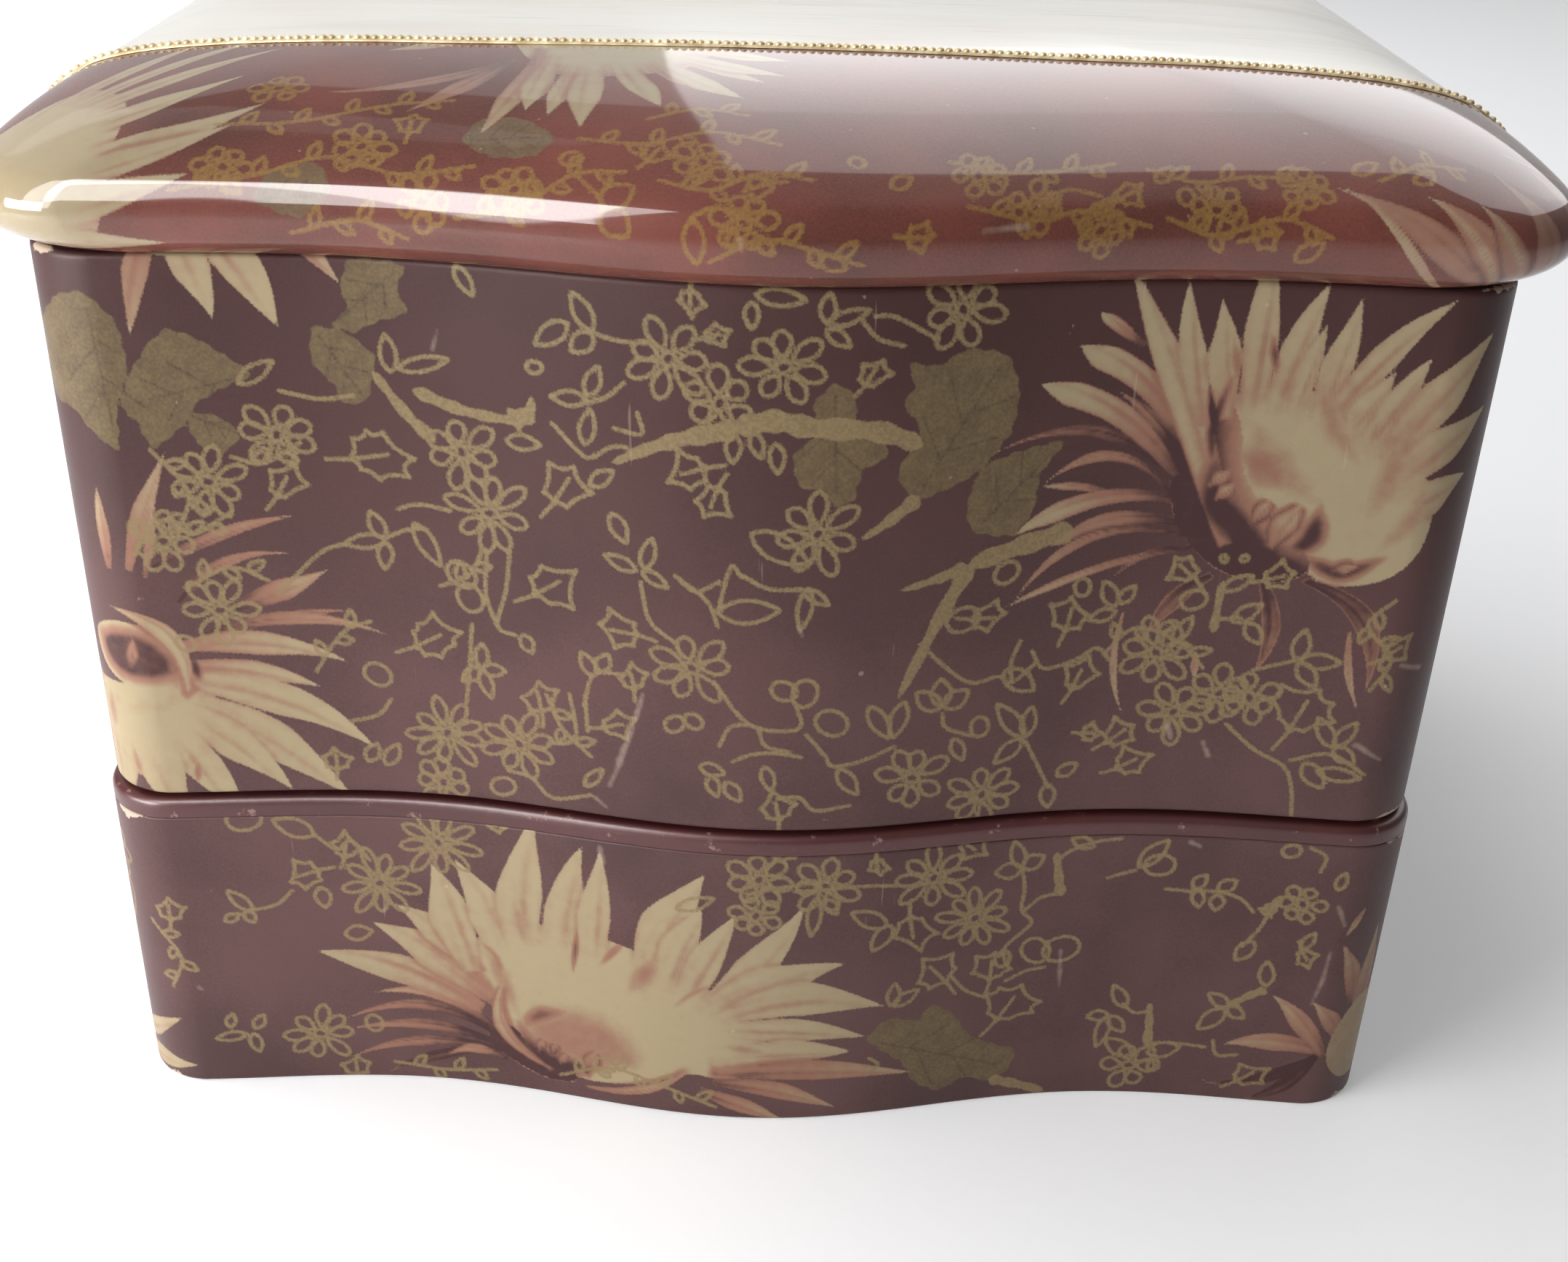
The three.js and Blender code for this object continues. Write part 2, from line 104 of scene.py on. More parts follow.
class Plan:
    def __init__(self, half, front, back, corner, corner_gain=-1.0, wave=1.0):
        self.half = half
        self.front = front
        self.back = back
        self.corner = corner
        self.corner_gain = corner_gain
        self.wave = wave
        radius, reach, front_turn, back_turn = self.turns(0.0)
        self.corner_start = reach + math.pi / 2 * radius
        self.rear_end = self.corner_start + back_turn - front_turn + math.pi / 2 * radius
        self.half_length = self.rear_end + reach

    def turns(self, inset, side=None):
        """The corners at an inset: radius, the x where they start, and the y of their centres."""
        side = inset if side is None else side
        room = 0.9 * (min(self.half, (self.back - self.front) / 2) - inset)
        radius = np.maximum(TIGHTEST, np.minimum(room, self.corner + self.corner_gain * inset))
        reach = self.half - side - radius
        front_turn = self.front + inset - self.wave * serpentine(reach / self.half) + radius
        return radius, reach, front_turn, self.back - inset - radius

    def at(self, run, inset=0.0, side=None):
        """x and y at a distance along the line from the middle of the front, positive to the right."""
        side = inset if side is None else side
        run, inset, side = np.broadcast_arrays(np.asarray(run, float), inset, side)
        run = (run + self.half_length) % (2 * self.half_length) - self.half_length
        along = np.abs(run)
        radius, reach, front_turn, back_turn = self.turns(inset, side)
        _, reach0, front_turn0, _ = self.turns(0.0)
        side_start = self.corner_start + front_turn - front_turn0
        side_end = self.corner_start + back_turn - front_turn0
        back_start = self.rear_end + reach0 - reach
        first = np.pi / 2 * (along - reach) / (side_start - reach)
        second = np.pi / 2 * (along - side_end) / (back_start - side_end)
        where = [along < reach, along < side_start, along < side_end, along < back_start]
        x = np.select(
            where,
            [along, reach + radius * np.sin(first), self.half - side, reach + radius * np.cos(second)],
            reach0 - (along - self.rear_end),
        )
        y = np.select(
            where,
            [
                self.front + inset - self.wave * serpentine(along / self.half),
                front_turn - radius * np.cos(first),
                front_turn0 + along - self.corner_start,
                back_turn + radius * np.sin(second),
            ],
            self.back - inset,
        )
        return np.where(run < 0, -x, x), y

    def depth(self, x, y):
        """How far inside the line a point lies, negative outside."""
        side = self.half - np.abs(x)
        ahead = y - self.front + self.wave * serpentine(np.clip(x / self.half, -1, 1))
        near = np.minimum(ahead, self.back - y)
        over_side = self.corner - side
        over_end = self.corner - near
        in_corner = (over_side > 0) & (over_end > 0)
        round_depth = self.corner - np.hypot(over_side, over_end)
        return np.where(in_corner, round_depth, np.minimum(side, near))


def plan_of(node, corner, inset=0.0, **more):
    """The plan of a solid, from the box that it fills."""
    low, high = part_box(node)
    wave = more.get("wave", 1.0)
    return Plan(high.x + inset, low.y - inset + wave * BOW, high.y + inset, corner, **more)


BODY_CORNER = 10 * MM
LID_CORNER = 15 * MM
PANEL_CORNER = 4 * MM

lower_plan = plan_of("lower_print_cover", BODY_CORNER)
upper_plan = plan_of("upper_print_cover", BODY_CORNER)
lid_plan = plan_of("lid_print_cover", LID_CORNER, corner_gain=0.5)
body_back = lower_plan.back
lid_overhang = lid_plan.half - lower_plan.half
lid_plan = Plan(lid_plan.half, lid_plan.front, body_back + lid_overhang, LID_CORNER, corner_gain=0.5)
panel_plan = plan_of("lid_panel", PANEL_CORNER, inset=GAP / 2, wave=0.0)
for title, plan in (("lower", lower_plan), ("upper", upper_plan), ("lid", lid_plan), ("panel", panel_plan)):
    print(title, "line round in mm:", round(2 * plan.half_length / MM))

# %% [markdown]
# ## Sheets that wrap
# A cover is a flat sheet bent round the plan. Blender's grid operator gives the flat sheet with its
# columns and rows already joined up, and each row is then laid at its own inset and height. A section
# is the line that the rows follow, seen from the end: flat runs joined by small round bends.

# %% Sections and runs


def section(corners):
    """Points along a bent line. A corner is (inset, height, bend radius, spacing of the run after it)."""
    spots = np.array([corner[:2] for corner in corners], float)
    points = [spots[0]]
    spacing = corners[0][3]
    for before, here, after, (_, _, bend, next_spacing) in zip(spots, spots[1:], spots[2:], corners[1:]):
        runs = np.linalg.norm(before - here), np.linalg.norm(after - here)
        radius = min(bend, 0.49 * min(runs))
        start = here + radius * (before - here) / runs[0]
        end = here + radius * (after - here) / runs[1]
        points.extend(straight(points[-1], start, spacing))
        if radius > 0:
            share = np.linspace(0, 1, 6)[1:, None]
            points.extend((1 - share) ** 2 * start + 2 * share * (1 - share) * here + share ** 2 * end)
        spacing = next_spacing
    points.extend(straight(points[-1], spots[-1], spacing))
    return np.array(points)


def straight(start, end, spacing):
    count = max(1, math.ceil(np.linalg.norm(end - start) / spacing))
    return [start + (end - start) * step / count for step in range(1, count + 1)]


def runs_between(first, last, spacing):
    count = max(2, round(abs(last - first) / spacing))
    return np.linspace(first, last, count + 1)


bend = section([(0, 0, 0, 1), (0, 10, 2, 1), (10, 10, 0, 1)])
print("A bent line of", len(bend), "points, with its corner cut round:", bend[8:13].round(1).tolist())

# %% Helpers for wrapped sheets
SEAM = 0.002 * MM  # points closer than this are one


def points_of(piece):
    spots = np.empty(3 * len(piece.data.vertices))
    piece.data.vertices.foreach_get("co", spots)
    return spots.reshape(-1, 3)


def edit_whole():
    bpy.ops.object.mode_set(mode="EDIT")
    bpy.ops.mesh.select_all(action="SELECT")


def flat_sheet(name, columns, rows):
    """A new grid, and the column and row that each of its points is in."""
    bpy.ops.object.select_all(action="DESELECT")
    bpy.ops.mesh.primitive_grid_add(x_subdivisions=columns, y_subdivisions=rows, size=1)
    sheet = bpy.context.object
    sheet.name = name
    sheet.data.name = name
    spots = points_of(sheet) + 0.5
    return sheet, np.rint(spots[:, 0] * columns).astype(int), np.rint(spots[:, 1] * rows).astype(int)


def lay(sheet, x, y, z):
    sheet.data.vertices.foreach_set("co", np.column_stack([x, y, z]).ravel())
    sheet.data.update()


def close_up(piece, smooth_angle=40):
    """Merges the seams of the selected piece, fills open ends, turns the faces out and shades it."""
    edit_whole()
    bpy.ops.mesh.remove_doubles(threshold=SEAM)
    bpy.ops.mesh.fill_holes(sides=0)
    bpy.ops.mesh.select_all(action="SELECT")
    bpy.ops.mesh.normals_make_consistent(inside=False)
    bpy.ops.object.mode_set(mode="OBJECT")
    bpy.ops.object.shade_smooth_by_angle(angle=math.radians(smooth_angle))
    return piece


def wrap(name, plan, runs, line):
    """A closed sheet: columns at the runs along the plan, rows along a section."""
    sheet, column, row = flat_sheet(name, len(runs) - 1, len(line) - 1)
    x, y = plan.at(runs[column], line[row, 0])
    lay(sheet, x, y, line[row, 1])
    return sheet, column, row


def note(sheet, **values):
    """Keeps a number at every point of a sheet, for its material to read."""
    for name, numbers in values.items():
        layer = sheet.data.attributes.new(name, "FLOAT", "POINT")
        layer.data.foreach_set("value", np.asarray(numbers, np.float32))


def settle(piece, body, slot, finish, *stands_for):
    """Gives a finished piece its material and its body, and hides the solids that it stands for."""
    piece.data.materials.clear()
    piece.data.materials.append(finish)
    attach(piece, body)
    if stands_for:
        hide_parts(*stands_for)
    print(piece.name, "faces:", len(piece.data.polygons))


# %% [markdown]
# ## Shader arithmetic
# A finish is a tree of nodes. Writing it as sums keeps it readable: a small class wraps a node's output,
# and adding or multiplying two of them adds the Math node. Everything else comes from one method that
# makes a node, sets it up and feeds its sockets.

# %% A finish and its outputs


class Output:
    def __init__(self, finish, socket):
        self.finish = finish
        self.socket = socket

    def maths(self, operation, first, second):
        return self.finish.node("Math", {"operation": operation}, {0: first, 1: second})

    def __add__(self, other):
        return self.maths("ADD", self, other)

    def __radd__(self, other):
        return self.maths("ADD", other, self)

    def __sub__(self, other):
        return self.maths("SUBTRACT", self, other)

    def __rsub__(self, other):
        return self.maths("SUBTRACT", other, self)

    def __mul__(self, other):
        return self.maths("MULTIPLY", self, other)

    def __rmul__(self, other):
        return self.maths("MULTIPLY", other, self)


class Finish:
    def __init__(self, name, **constants):
        self.material = bpy.data.materials.new(name)
        self.material.use_nodes = True
        self.tree = self.material.node_tree
        self.shader = self.tree.nodes["Principled BSDF"]
        for socket, value in constants.items():
            self.shader.inputs[socket.replace("_", " ")].default_value = value

    def node(self, kind, settings=None, inputs=None, output=0):
        made = self.tree.nodes.new("ShaderNode" + kind)
        for name, value in (settings or {}).items():
            setattr(made, name, value)
        for socket, value in (inputs or {}).items():
            self.feed(made.inputs[socket], value)
        return Output(self, made.outputs[output])

    def feed(self, socket, value):
        if isinstance(value, Output):
            self.tree.links.new(value.socket, socket)
        else:
            socket.default_value = value

    def coat(self, **outputs):
        """Links outputs to the shader's own sockets."""
        for socket, value in outputs.items():
            self.feed(self.shader.inputs[socket.replace("_", " ")], value)
        return self.material

    def place(self):
        return self.node("TexCoord", output="Object")

    def kept(self, name):
        return self.node("Attribute", {"attribute_name": name}, output="Fac")

    def noise(self, size, detail, stretch=None, roughness=0.5):
        """Soft noise whose blots are about the given size, in metres."""
        spot = self.place()
        if stretch:
            spot = self.node("Mapping", None, {"Vector": spot, "Scale": stretch})
        feeds = {"Vector": spot, "Scale": 1 / size, "Detail": detail, "Roughness": roughness}
        return self.node("TexNoise", None, feeds, "Fac")

    def ease(self, value, low, high):
        """0 below low, 1 above high, and a smooth step between."""
        feeds = {"Value": value, "From Min": low, "From Max": high}
        return self.node("MapRange", {"interpolation_type": "SMOOTHSTEP"}, feeds, "Result")

    def mix(self, share, first, second):
        feeds = {0: share, 6: first, 7: second}
        return self.node("Mix", {"data_type": "RGBA"}, feeds, 2)

    def bump(self, height, depth, **more):
        return self.node("Bump", None, {"Height": height, "Distance": depth, **more})


def paint(red, green, blue):
    """A colour given as it looks on a screen, 0 to 255, turned into the light it sends back."""
    levels = []
    for level in (red, green, blue):
        share = level / 255
        levels.append(share / 12.92 if share <= 0.04045 else ((share + 0.055) / 1.055) ** 2.4)
    return (*levels, 1.0)


print("Middle grey on a screen sends back", round(paint(128, 128, 128)[0], 2), "of the light")

# %% [markdown]
# ## Drawing the paper's print
# The print has three inks over a plum ground: fine gold lines that draw daisies, leaves and stems, solid
# olive leaves, and large chrysanthemums in cream. Painting it with shader nodes alone would take
# thousands of them. Instead the motifs are drawn by formula on the flat sheet, and each point of the
# sheet keeps its distance to the nearest line or edge. The material cuts those distances sharply, so
# that edges stay crisp between the points. All of it is in millimetres.

# %% Pen strokes
PEN = 0.3  # half the width of a drawn line
PEN_STEP = 0.15  # between the dots of a stroke


def turned(points, bearing):
    """Points turned about the origin, by degrees against the clock."""
    angle = math.radians(bearing)
    spin = np.array([[math.cos(angle), math.sin(angle)], [-math.sin(angle), math.cos(angle)]])
    return np.asarray(points, float) @ spin


def dotted(line):
    """Evenly spaced dots along a line."""
    steps = np.hypot(*np.diff(line, axis=0).T)
    along = np.concatenate([[0], np.cumsum(steps)])
    where = np.linspace(0, along[-1], max(2, int(along[-1] / PEN_STEP)))
    return np.column_stack([np.interp(where, along, line[:, 0]), np.interp(where, along, line[:, 1])])


def winding(points, closed=False, slack=0.5):
    """A smooth line through given points. With less slack it keeps closer to straight runs."""
    points = np.array(points, float)
    ends = [2 * points[0] - points[1], *points, 2 * points[-1] - points[-2]]
    if closed:
        ends = [points[-1], *points, points[0], points[1]]
    share = np.linspace(0, 1, 10, endpoint=False)[:, None]
    blend = share ** 2 * (3 - 2 * share)
    pieces = []
    for a, b, c, d in zip(ends, ends[1:], ends[2:], ends[3:]):
        leaving = slack * share * (1 - share) ** 2 * (c - a)
        arriving = slack * share ** 2 * (1 - share) * (d - b)
        pieces.append(b + blend * (c - b) + leaving - arriving)
    return np.vstack([*pieces, ends[-2]])


def loop(x0, y0, x1, y1, width, lean=0.85, point=0.85):
    """A leaf or petal drawn as one closed line, from its base to its tip."""
    share = np.linspace(0, 1, 18)
    half = width / 2 * np.sin(np.pi * share ** lean) ** point
    length = math.hypot(x1 - x0, y1 - y0)
    edge = np.column_stack([length * share, half])
    bearing = math.degrees(math.atan2(y1 - y0, x1 - x0))
    return turned(np.vstack([edge, edge[::-1] * (1, -1)]), bearing) + (x0, y0)


def ring(x, y, radius):
    angle = np.linspace(0, 2 * np.pi, 24)
    uneven = radius * (1 + 0.12 * np.sin(2 * angle + x))
    return np.column_stack([x + uneven * np.cos(angle), y + uneven * np.sin(angle)])


print("A ring of radius 2 has", len(dotted(ring(0, 0, 2))), "dots")

# %% Daisies, ivy leaves and sprays
DAISY_EYE = 0.85  # radius
PETAL_START = 1.25  # from the daisy's middle
SPRAY_PITCH = 3.4
SPRAY_LEAF = 2.6


def daisy(x, y, petals, reach):
    """A ring for the eye, and petals that are each a little off their even places."""
    strokes = [ring(x, y, DAISY_EYE)]
    for index in range(petals):
        unevenness = math.sin(3.1 * index + x) * math.cos(1.7 * index + y)
        bearing = 360 * (index + 0.22 * unevenness) / petals + 31 * x
        far = reach * (1 + 0.13 * math.sin(2.3 * index + y))
        base, tip = turned([(PETAL_START, 0), (far, 0)], bearing) + (x, y)
        strokes.append(loop(*base, *tip, min(2.8, 16 / petals, 0.56 * reach), 1.3, 0.6))
    return strokes


def toothed_leaf(x, y, size, bearing, teeth=5):
    """A small ivy leaf drawn as one line, sharp points with hollows between them, and its rib."""
    tips = [(-0.3, 0.0)]
    for index in range(teeth):
        angle = math.radians(250 * (index / (teeth - 1) - 0.5) + 10 * math.sin(2.3 * index + x))
        reach = (0.42 + 0.2 * math.cos(angle)) * (1 + 0.16 * math.sin(1.7 * index + y))
        tips.append((reach * math.cos(angle), reach * math.sin(angle)))
    tips = np.array(tips)
    share = np.linspace(0, 1, 7)[:, None]
    arcs = []
    for tip, after in zip(tips, np.roll(tips, -1, axis=0)):
        hollow = 0.33 * (tip + after)
        arcs.append((1 - share) ** 2 * tip + 2 * share * (1 - share) * hollow + share ** 2 * after)
    rib = [(-0.65, 0.06), (-0.3, 0), (0.28, 0)]
    return [turned(size * np.array(part), bearing) + (x, y) for part in (np.vstack(arcs), rib)]


def spray(route):
    """A winding stem with small leaves to either side of it."""
    line = dotted(winding(route))
    strokes = [line]
    count = int(len(line) * PEN_STEP / SPRAY_PITCH)
    for index in range(1, count + 1):
        here = index * (len(line) - 1) // (count + 1)
        ahead = line[here + 1] - line[here]
        bearing = math.degrees(math.atan2(ahead[1], ahead[0])) + (58 if index % 2 else -52)
        tip = line[here] + turned((SPRAY_LEAF * (1 + 0.2 * math.sin(3 * index)), 0), bearing)
        strokes.append(loop(*line[here], *tip, 0.5 * SPRAY_LEAF))
    return strokes


print("A daisy of seven petals takes", len(daisy(0, 0, 7, 5)), "strokes")

# %% Branches and solid leaves


def asides(line):
    """Unit steps to the left of a line, at each of its points."""
    ahead = np.gradient(line, axis=0)
    return np.column_stack([-ahead[:, 1], ahead[:, 0]]) / np.hypot(*ahead.T)[:, None]


def branch(route, thick, thin):
    """The outline of a stalk that tapers along its route."""
    line = winding(route)
    aside = asides(line)
    uneven = 1 + 0.15 * np.sin(0.9 * np.arange(len(line)))
    ends = np.sin(np.pi * np.linspace(0, 1, len(line)))
    half = (np.linspace(thick, thin, len(line)) * uneven * np.minimum(1, 4 * ends) ** 0.5)[:, None]
    return np.vstack([line + half * aside, (line - half * aside)[::-1]])


def gold_strokes(daisies, loops, leaves, rings, stems, sprays):
    """All the lines of a gold drawing."""
    strokes = [loop(*row) for row in loops] + [ring(*row) for row in rings]
    for row in daisies:
        strokes.extend(daisy(*row))
    for row in leaves:
        strokes.extend(toothed_leaf(*row))
    for route in sprays:
        strokes.extend(spray(route))
    return strokes + [winding(route) for route in stems]


def leaf_edge(corners):
    """A solid leaf's outline: pointed at its corners, with a slightly wavy edge between."""
    line = dotted(winding(corners, closed=True, slack=0.3))
    wave = 0.13 * np.sin(2 * np.pi * PEN_STEP * np.arange(len(line)) / 2.6)
    return line + wave[:, None] * asides(line)


def leaf_veins(corners):
    """A rib between the two corners that lie furthest apart, and side veins that lean along it."""
    spots = np.array(corners, float)
    apart = np.hypot(*(spots[:, None] - spots[None]).transpose(2, 0, 1))
    first, last = np.unravel_index(np.argmax(apart), apart.shape)
    rib = spots[last] - spots[first]
    veins = [spots[first] + rib * np.array([[0.1], [0.9]])]
    for share, lean, reach in ((0.28, 52, 0.3), (0.34, -48, 0.33), (0.52, 45, 0.3), (0.6, -42, 0.27)):
        start = spots[first] + share * rib
        veins.append(np.array([start, start + reach * turned(rib, lean)]))
    return veins


print("A solid leaf has", len(leaf_veins([(0, 0), (4, 2), (8, 0), (4, -2)])), "veins")

# %% [markdown]
# ### Painted petals
# A chrysanthemum is painted as a painter would, from the back of the flower to the front. A petal is a
# long shape on a bowed centre line that covers what is under it and leaves a soft shadow beside itself.
# A patch fills a smooth outline with one tone, and a shadow darkens what it passes over and fades at
# both ends. Tone is 0 for cream, a half for salmon and 1 for the brown of the eye.

# %% How deep a point lies
MARGIN = 4  # millimetres round an outline that are looked at


def inside(outline, points):
    """Which points lie inside a closed outline, by counting the edges that a ray crosses."""
    crossings = np.zeros(len(points), int)
    for (x0, y0), (x1, y1) in zip(outline, np.roll(outline, -1, axis=0)):
        spans = (y0 > points[:, 1]) != (y1 > points[:, 1])
        meets = x0 + (points[:, 1] - y0) * (x1 - x0) / (y1 - y0 if y1 != y0 else 1e-9)
        crossings += spans & (points[:, 0] < meets)
    return crossings % 2 == 1


def nearest_dot(dots, points):
    """Distance from each point to the nearest dot, and that dot's number."""
    tree = KDTree(len(dots))
    for index, (x, y) in enumerate(dots):
        tree.insert((x, y, 0), index)
    tree.balance()
    found = [tree.find((x, y, 0)) for x, y in points]
    return np.array([away for _, _, away in found]), np.array([index for _, index, _ in found])


def nearest(strokes, points):
    """Distance from each point to the nearest of several lines."""
    return nearest_dot(np.vstack([dotted(stroke) for stroke in strokes]), points)[0]


def depth_in(outline, points):
    """How deep points lie inside an outline, negative outside, and which of them are near it."""
    low = outline.min(axis=0) - MARGIN
    high = outline.max(axis=0) + MARGIN
    near = np.flatnonzero(np.all((points > low) & (points < high), axis=1))
    if not len(near):
        return near, np.zeros(0)
    edge = nearest([np.vstack([outline, outline[:1]])], points[near])
    return near, np.where(inside(outline, points[near]), edge, -edge)


square = np.array([(0, 0), (4, 0), (4, 4), (0, 4)], float)
two_points = np.array([(1, 2), (5, 2)], float)
print("Depth of a point inside and one outside:", depth_in(square, two_points)[1].round(2))

# %% Petals, patches and shadows
PAINT_EDGE = 0.55  # millimetres over which one petal turns into the next


def petal(row, tones, shade=0.35, widest=0.5):
    """A petal from a root to a tip. A row is root x and y, tip x and y, bow to the left, width."""
    x0, y0, x1, y1, bow, width = row
    root = np.array((x0, y0), float)
    length = math.hypot(x1 - x0, y1 - y0)
    bearing = math.degrees(math.atan2(y1 - y0, x1 - x0))

    def lay_on(points, cover, tone):
        near = np.flatnonzero(np.hypot(*(points - root).T) < length + 3)
        along, across = turned(points[near] - root, -bearing).T
        share = np.clip(along / length, 0, 1)
        across = across - 4 * bow * length * share * (1 - share)
        swell = 0.4 + 0.6 * np.sin(np.pi / 2 * np.clip(share / widest, 0, 1))
        taper = 1 - np.clip((share - widest) / (1 - widest), 0, 1) ** 1.3
        uneven = 1 + 0.2 * share * np.sin(6 * share + bearing + np.sign(across))
        depth = np.minimum(width / 2 * swell * taper * uneven - np.abs(across), length - along)
        depth = np.minimum(depth, along + 0.4)
        beside = shade * np.clip(1 + depth / 1.3, 0, 1) * np.clip(8 * (0.98 - share), 0, 1)
        fold = 0.2 * np.exp(-((across / width + 0.1) / 0.1) ** 2) * np.sin(np.pi * share) ** 0.7
        streak = 0.05 * np.sin(3.1 * across + bearing + 2 * share) * (1 - share)
        edge = 0.3 * shade * np.clip(1 - depth / 0.9, 0, 1) * (1 - 0.6 * share)
        colour = tones[1] + (tones[0] - tones[1]) * (1 - share) ** 1.5 + fold + streak + edge
        under = np.maximum(tone[near], beside)
        tone[near] = under + (colour - under) * np.clip(depth / PAINT_EDGE + 0.5, 0, 1)
        cover[near] = np.maximum(cover[near], depth)

    return lay_on


def petals(rows, tones, broad=1.0, **more):
    return [petal((*row[:5], broad * row[5]), tones, **more) for row in rows]


def patch(points_round, level, soft=0.0):
    """A smooth filled outline. A soft one fades into what is under it, over that many millimetres."""
    outline = winding(points_round, closed=True)

    def lay_on(points, cover, tone):
        near, depth = depth_in(outline, points)
        held = depth >= 0
        spots = near[held]
        share = np.clip(depth[held] / soft, 0, 1) if soft else 1.0
        tone[spots] += (level - tone[spots]) * share
        cover[near] = np.maximum(cover[near], depth)

    return lay_on


def shadow(route, reach, strength):
    """Darkens what has been painted, most in the middle of the line."""
    line = dotted(winding(route))
    low = line.min(axis=0) - reach
    high = line.max(axis=0) + reach

    def lay_on(points, cover, tone):
        near = np.flatnonzero(np.all((points > low) & (points < high), axis=1))
        if len(near):
            away, dot = nearest_dot(line, points[near])
            fade = np.sin(np.pi * (0.1 + 0.8 * dot / (len(line) - 1)))
            share = np.clip(1 - away / (reach * fade), 0, 1)
            tone[near] = np.maximum(tone[near], strength * fade * share ** 2 * (3 - 2 * share))

    return lay_on


# %% [markdown]
# ### The designs
# The paper repeats its design three times round each tray. Places are in millimetres on the sheet:
# across from the middle of the front, and up from the table, or for the lid up its slope from the
# widest line of its edge. Of the gold drawing, a daisy is a place, a number of petals and a reach. A loop
# is a base, a tip and a width. A leaf is a place, a size and a bearing, with 7 where it has seven points.
# A ring is a place and a radius, and stems and sprays are routes.

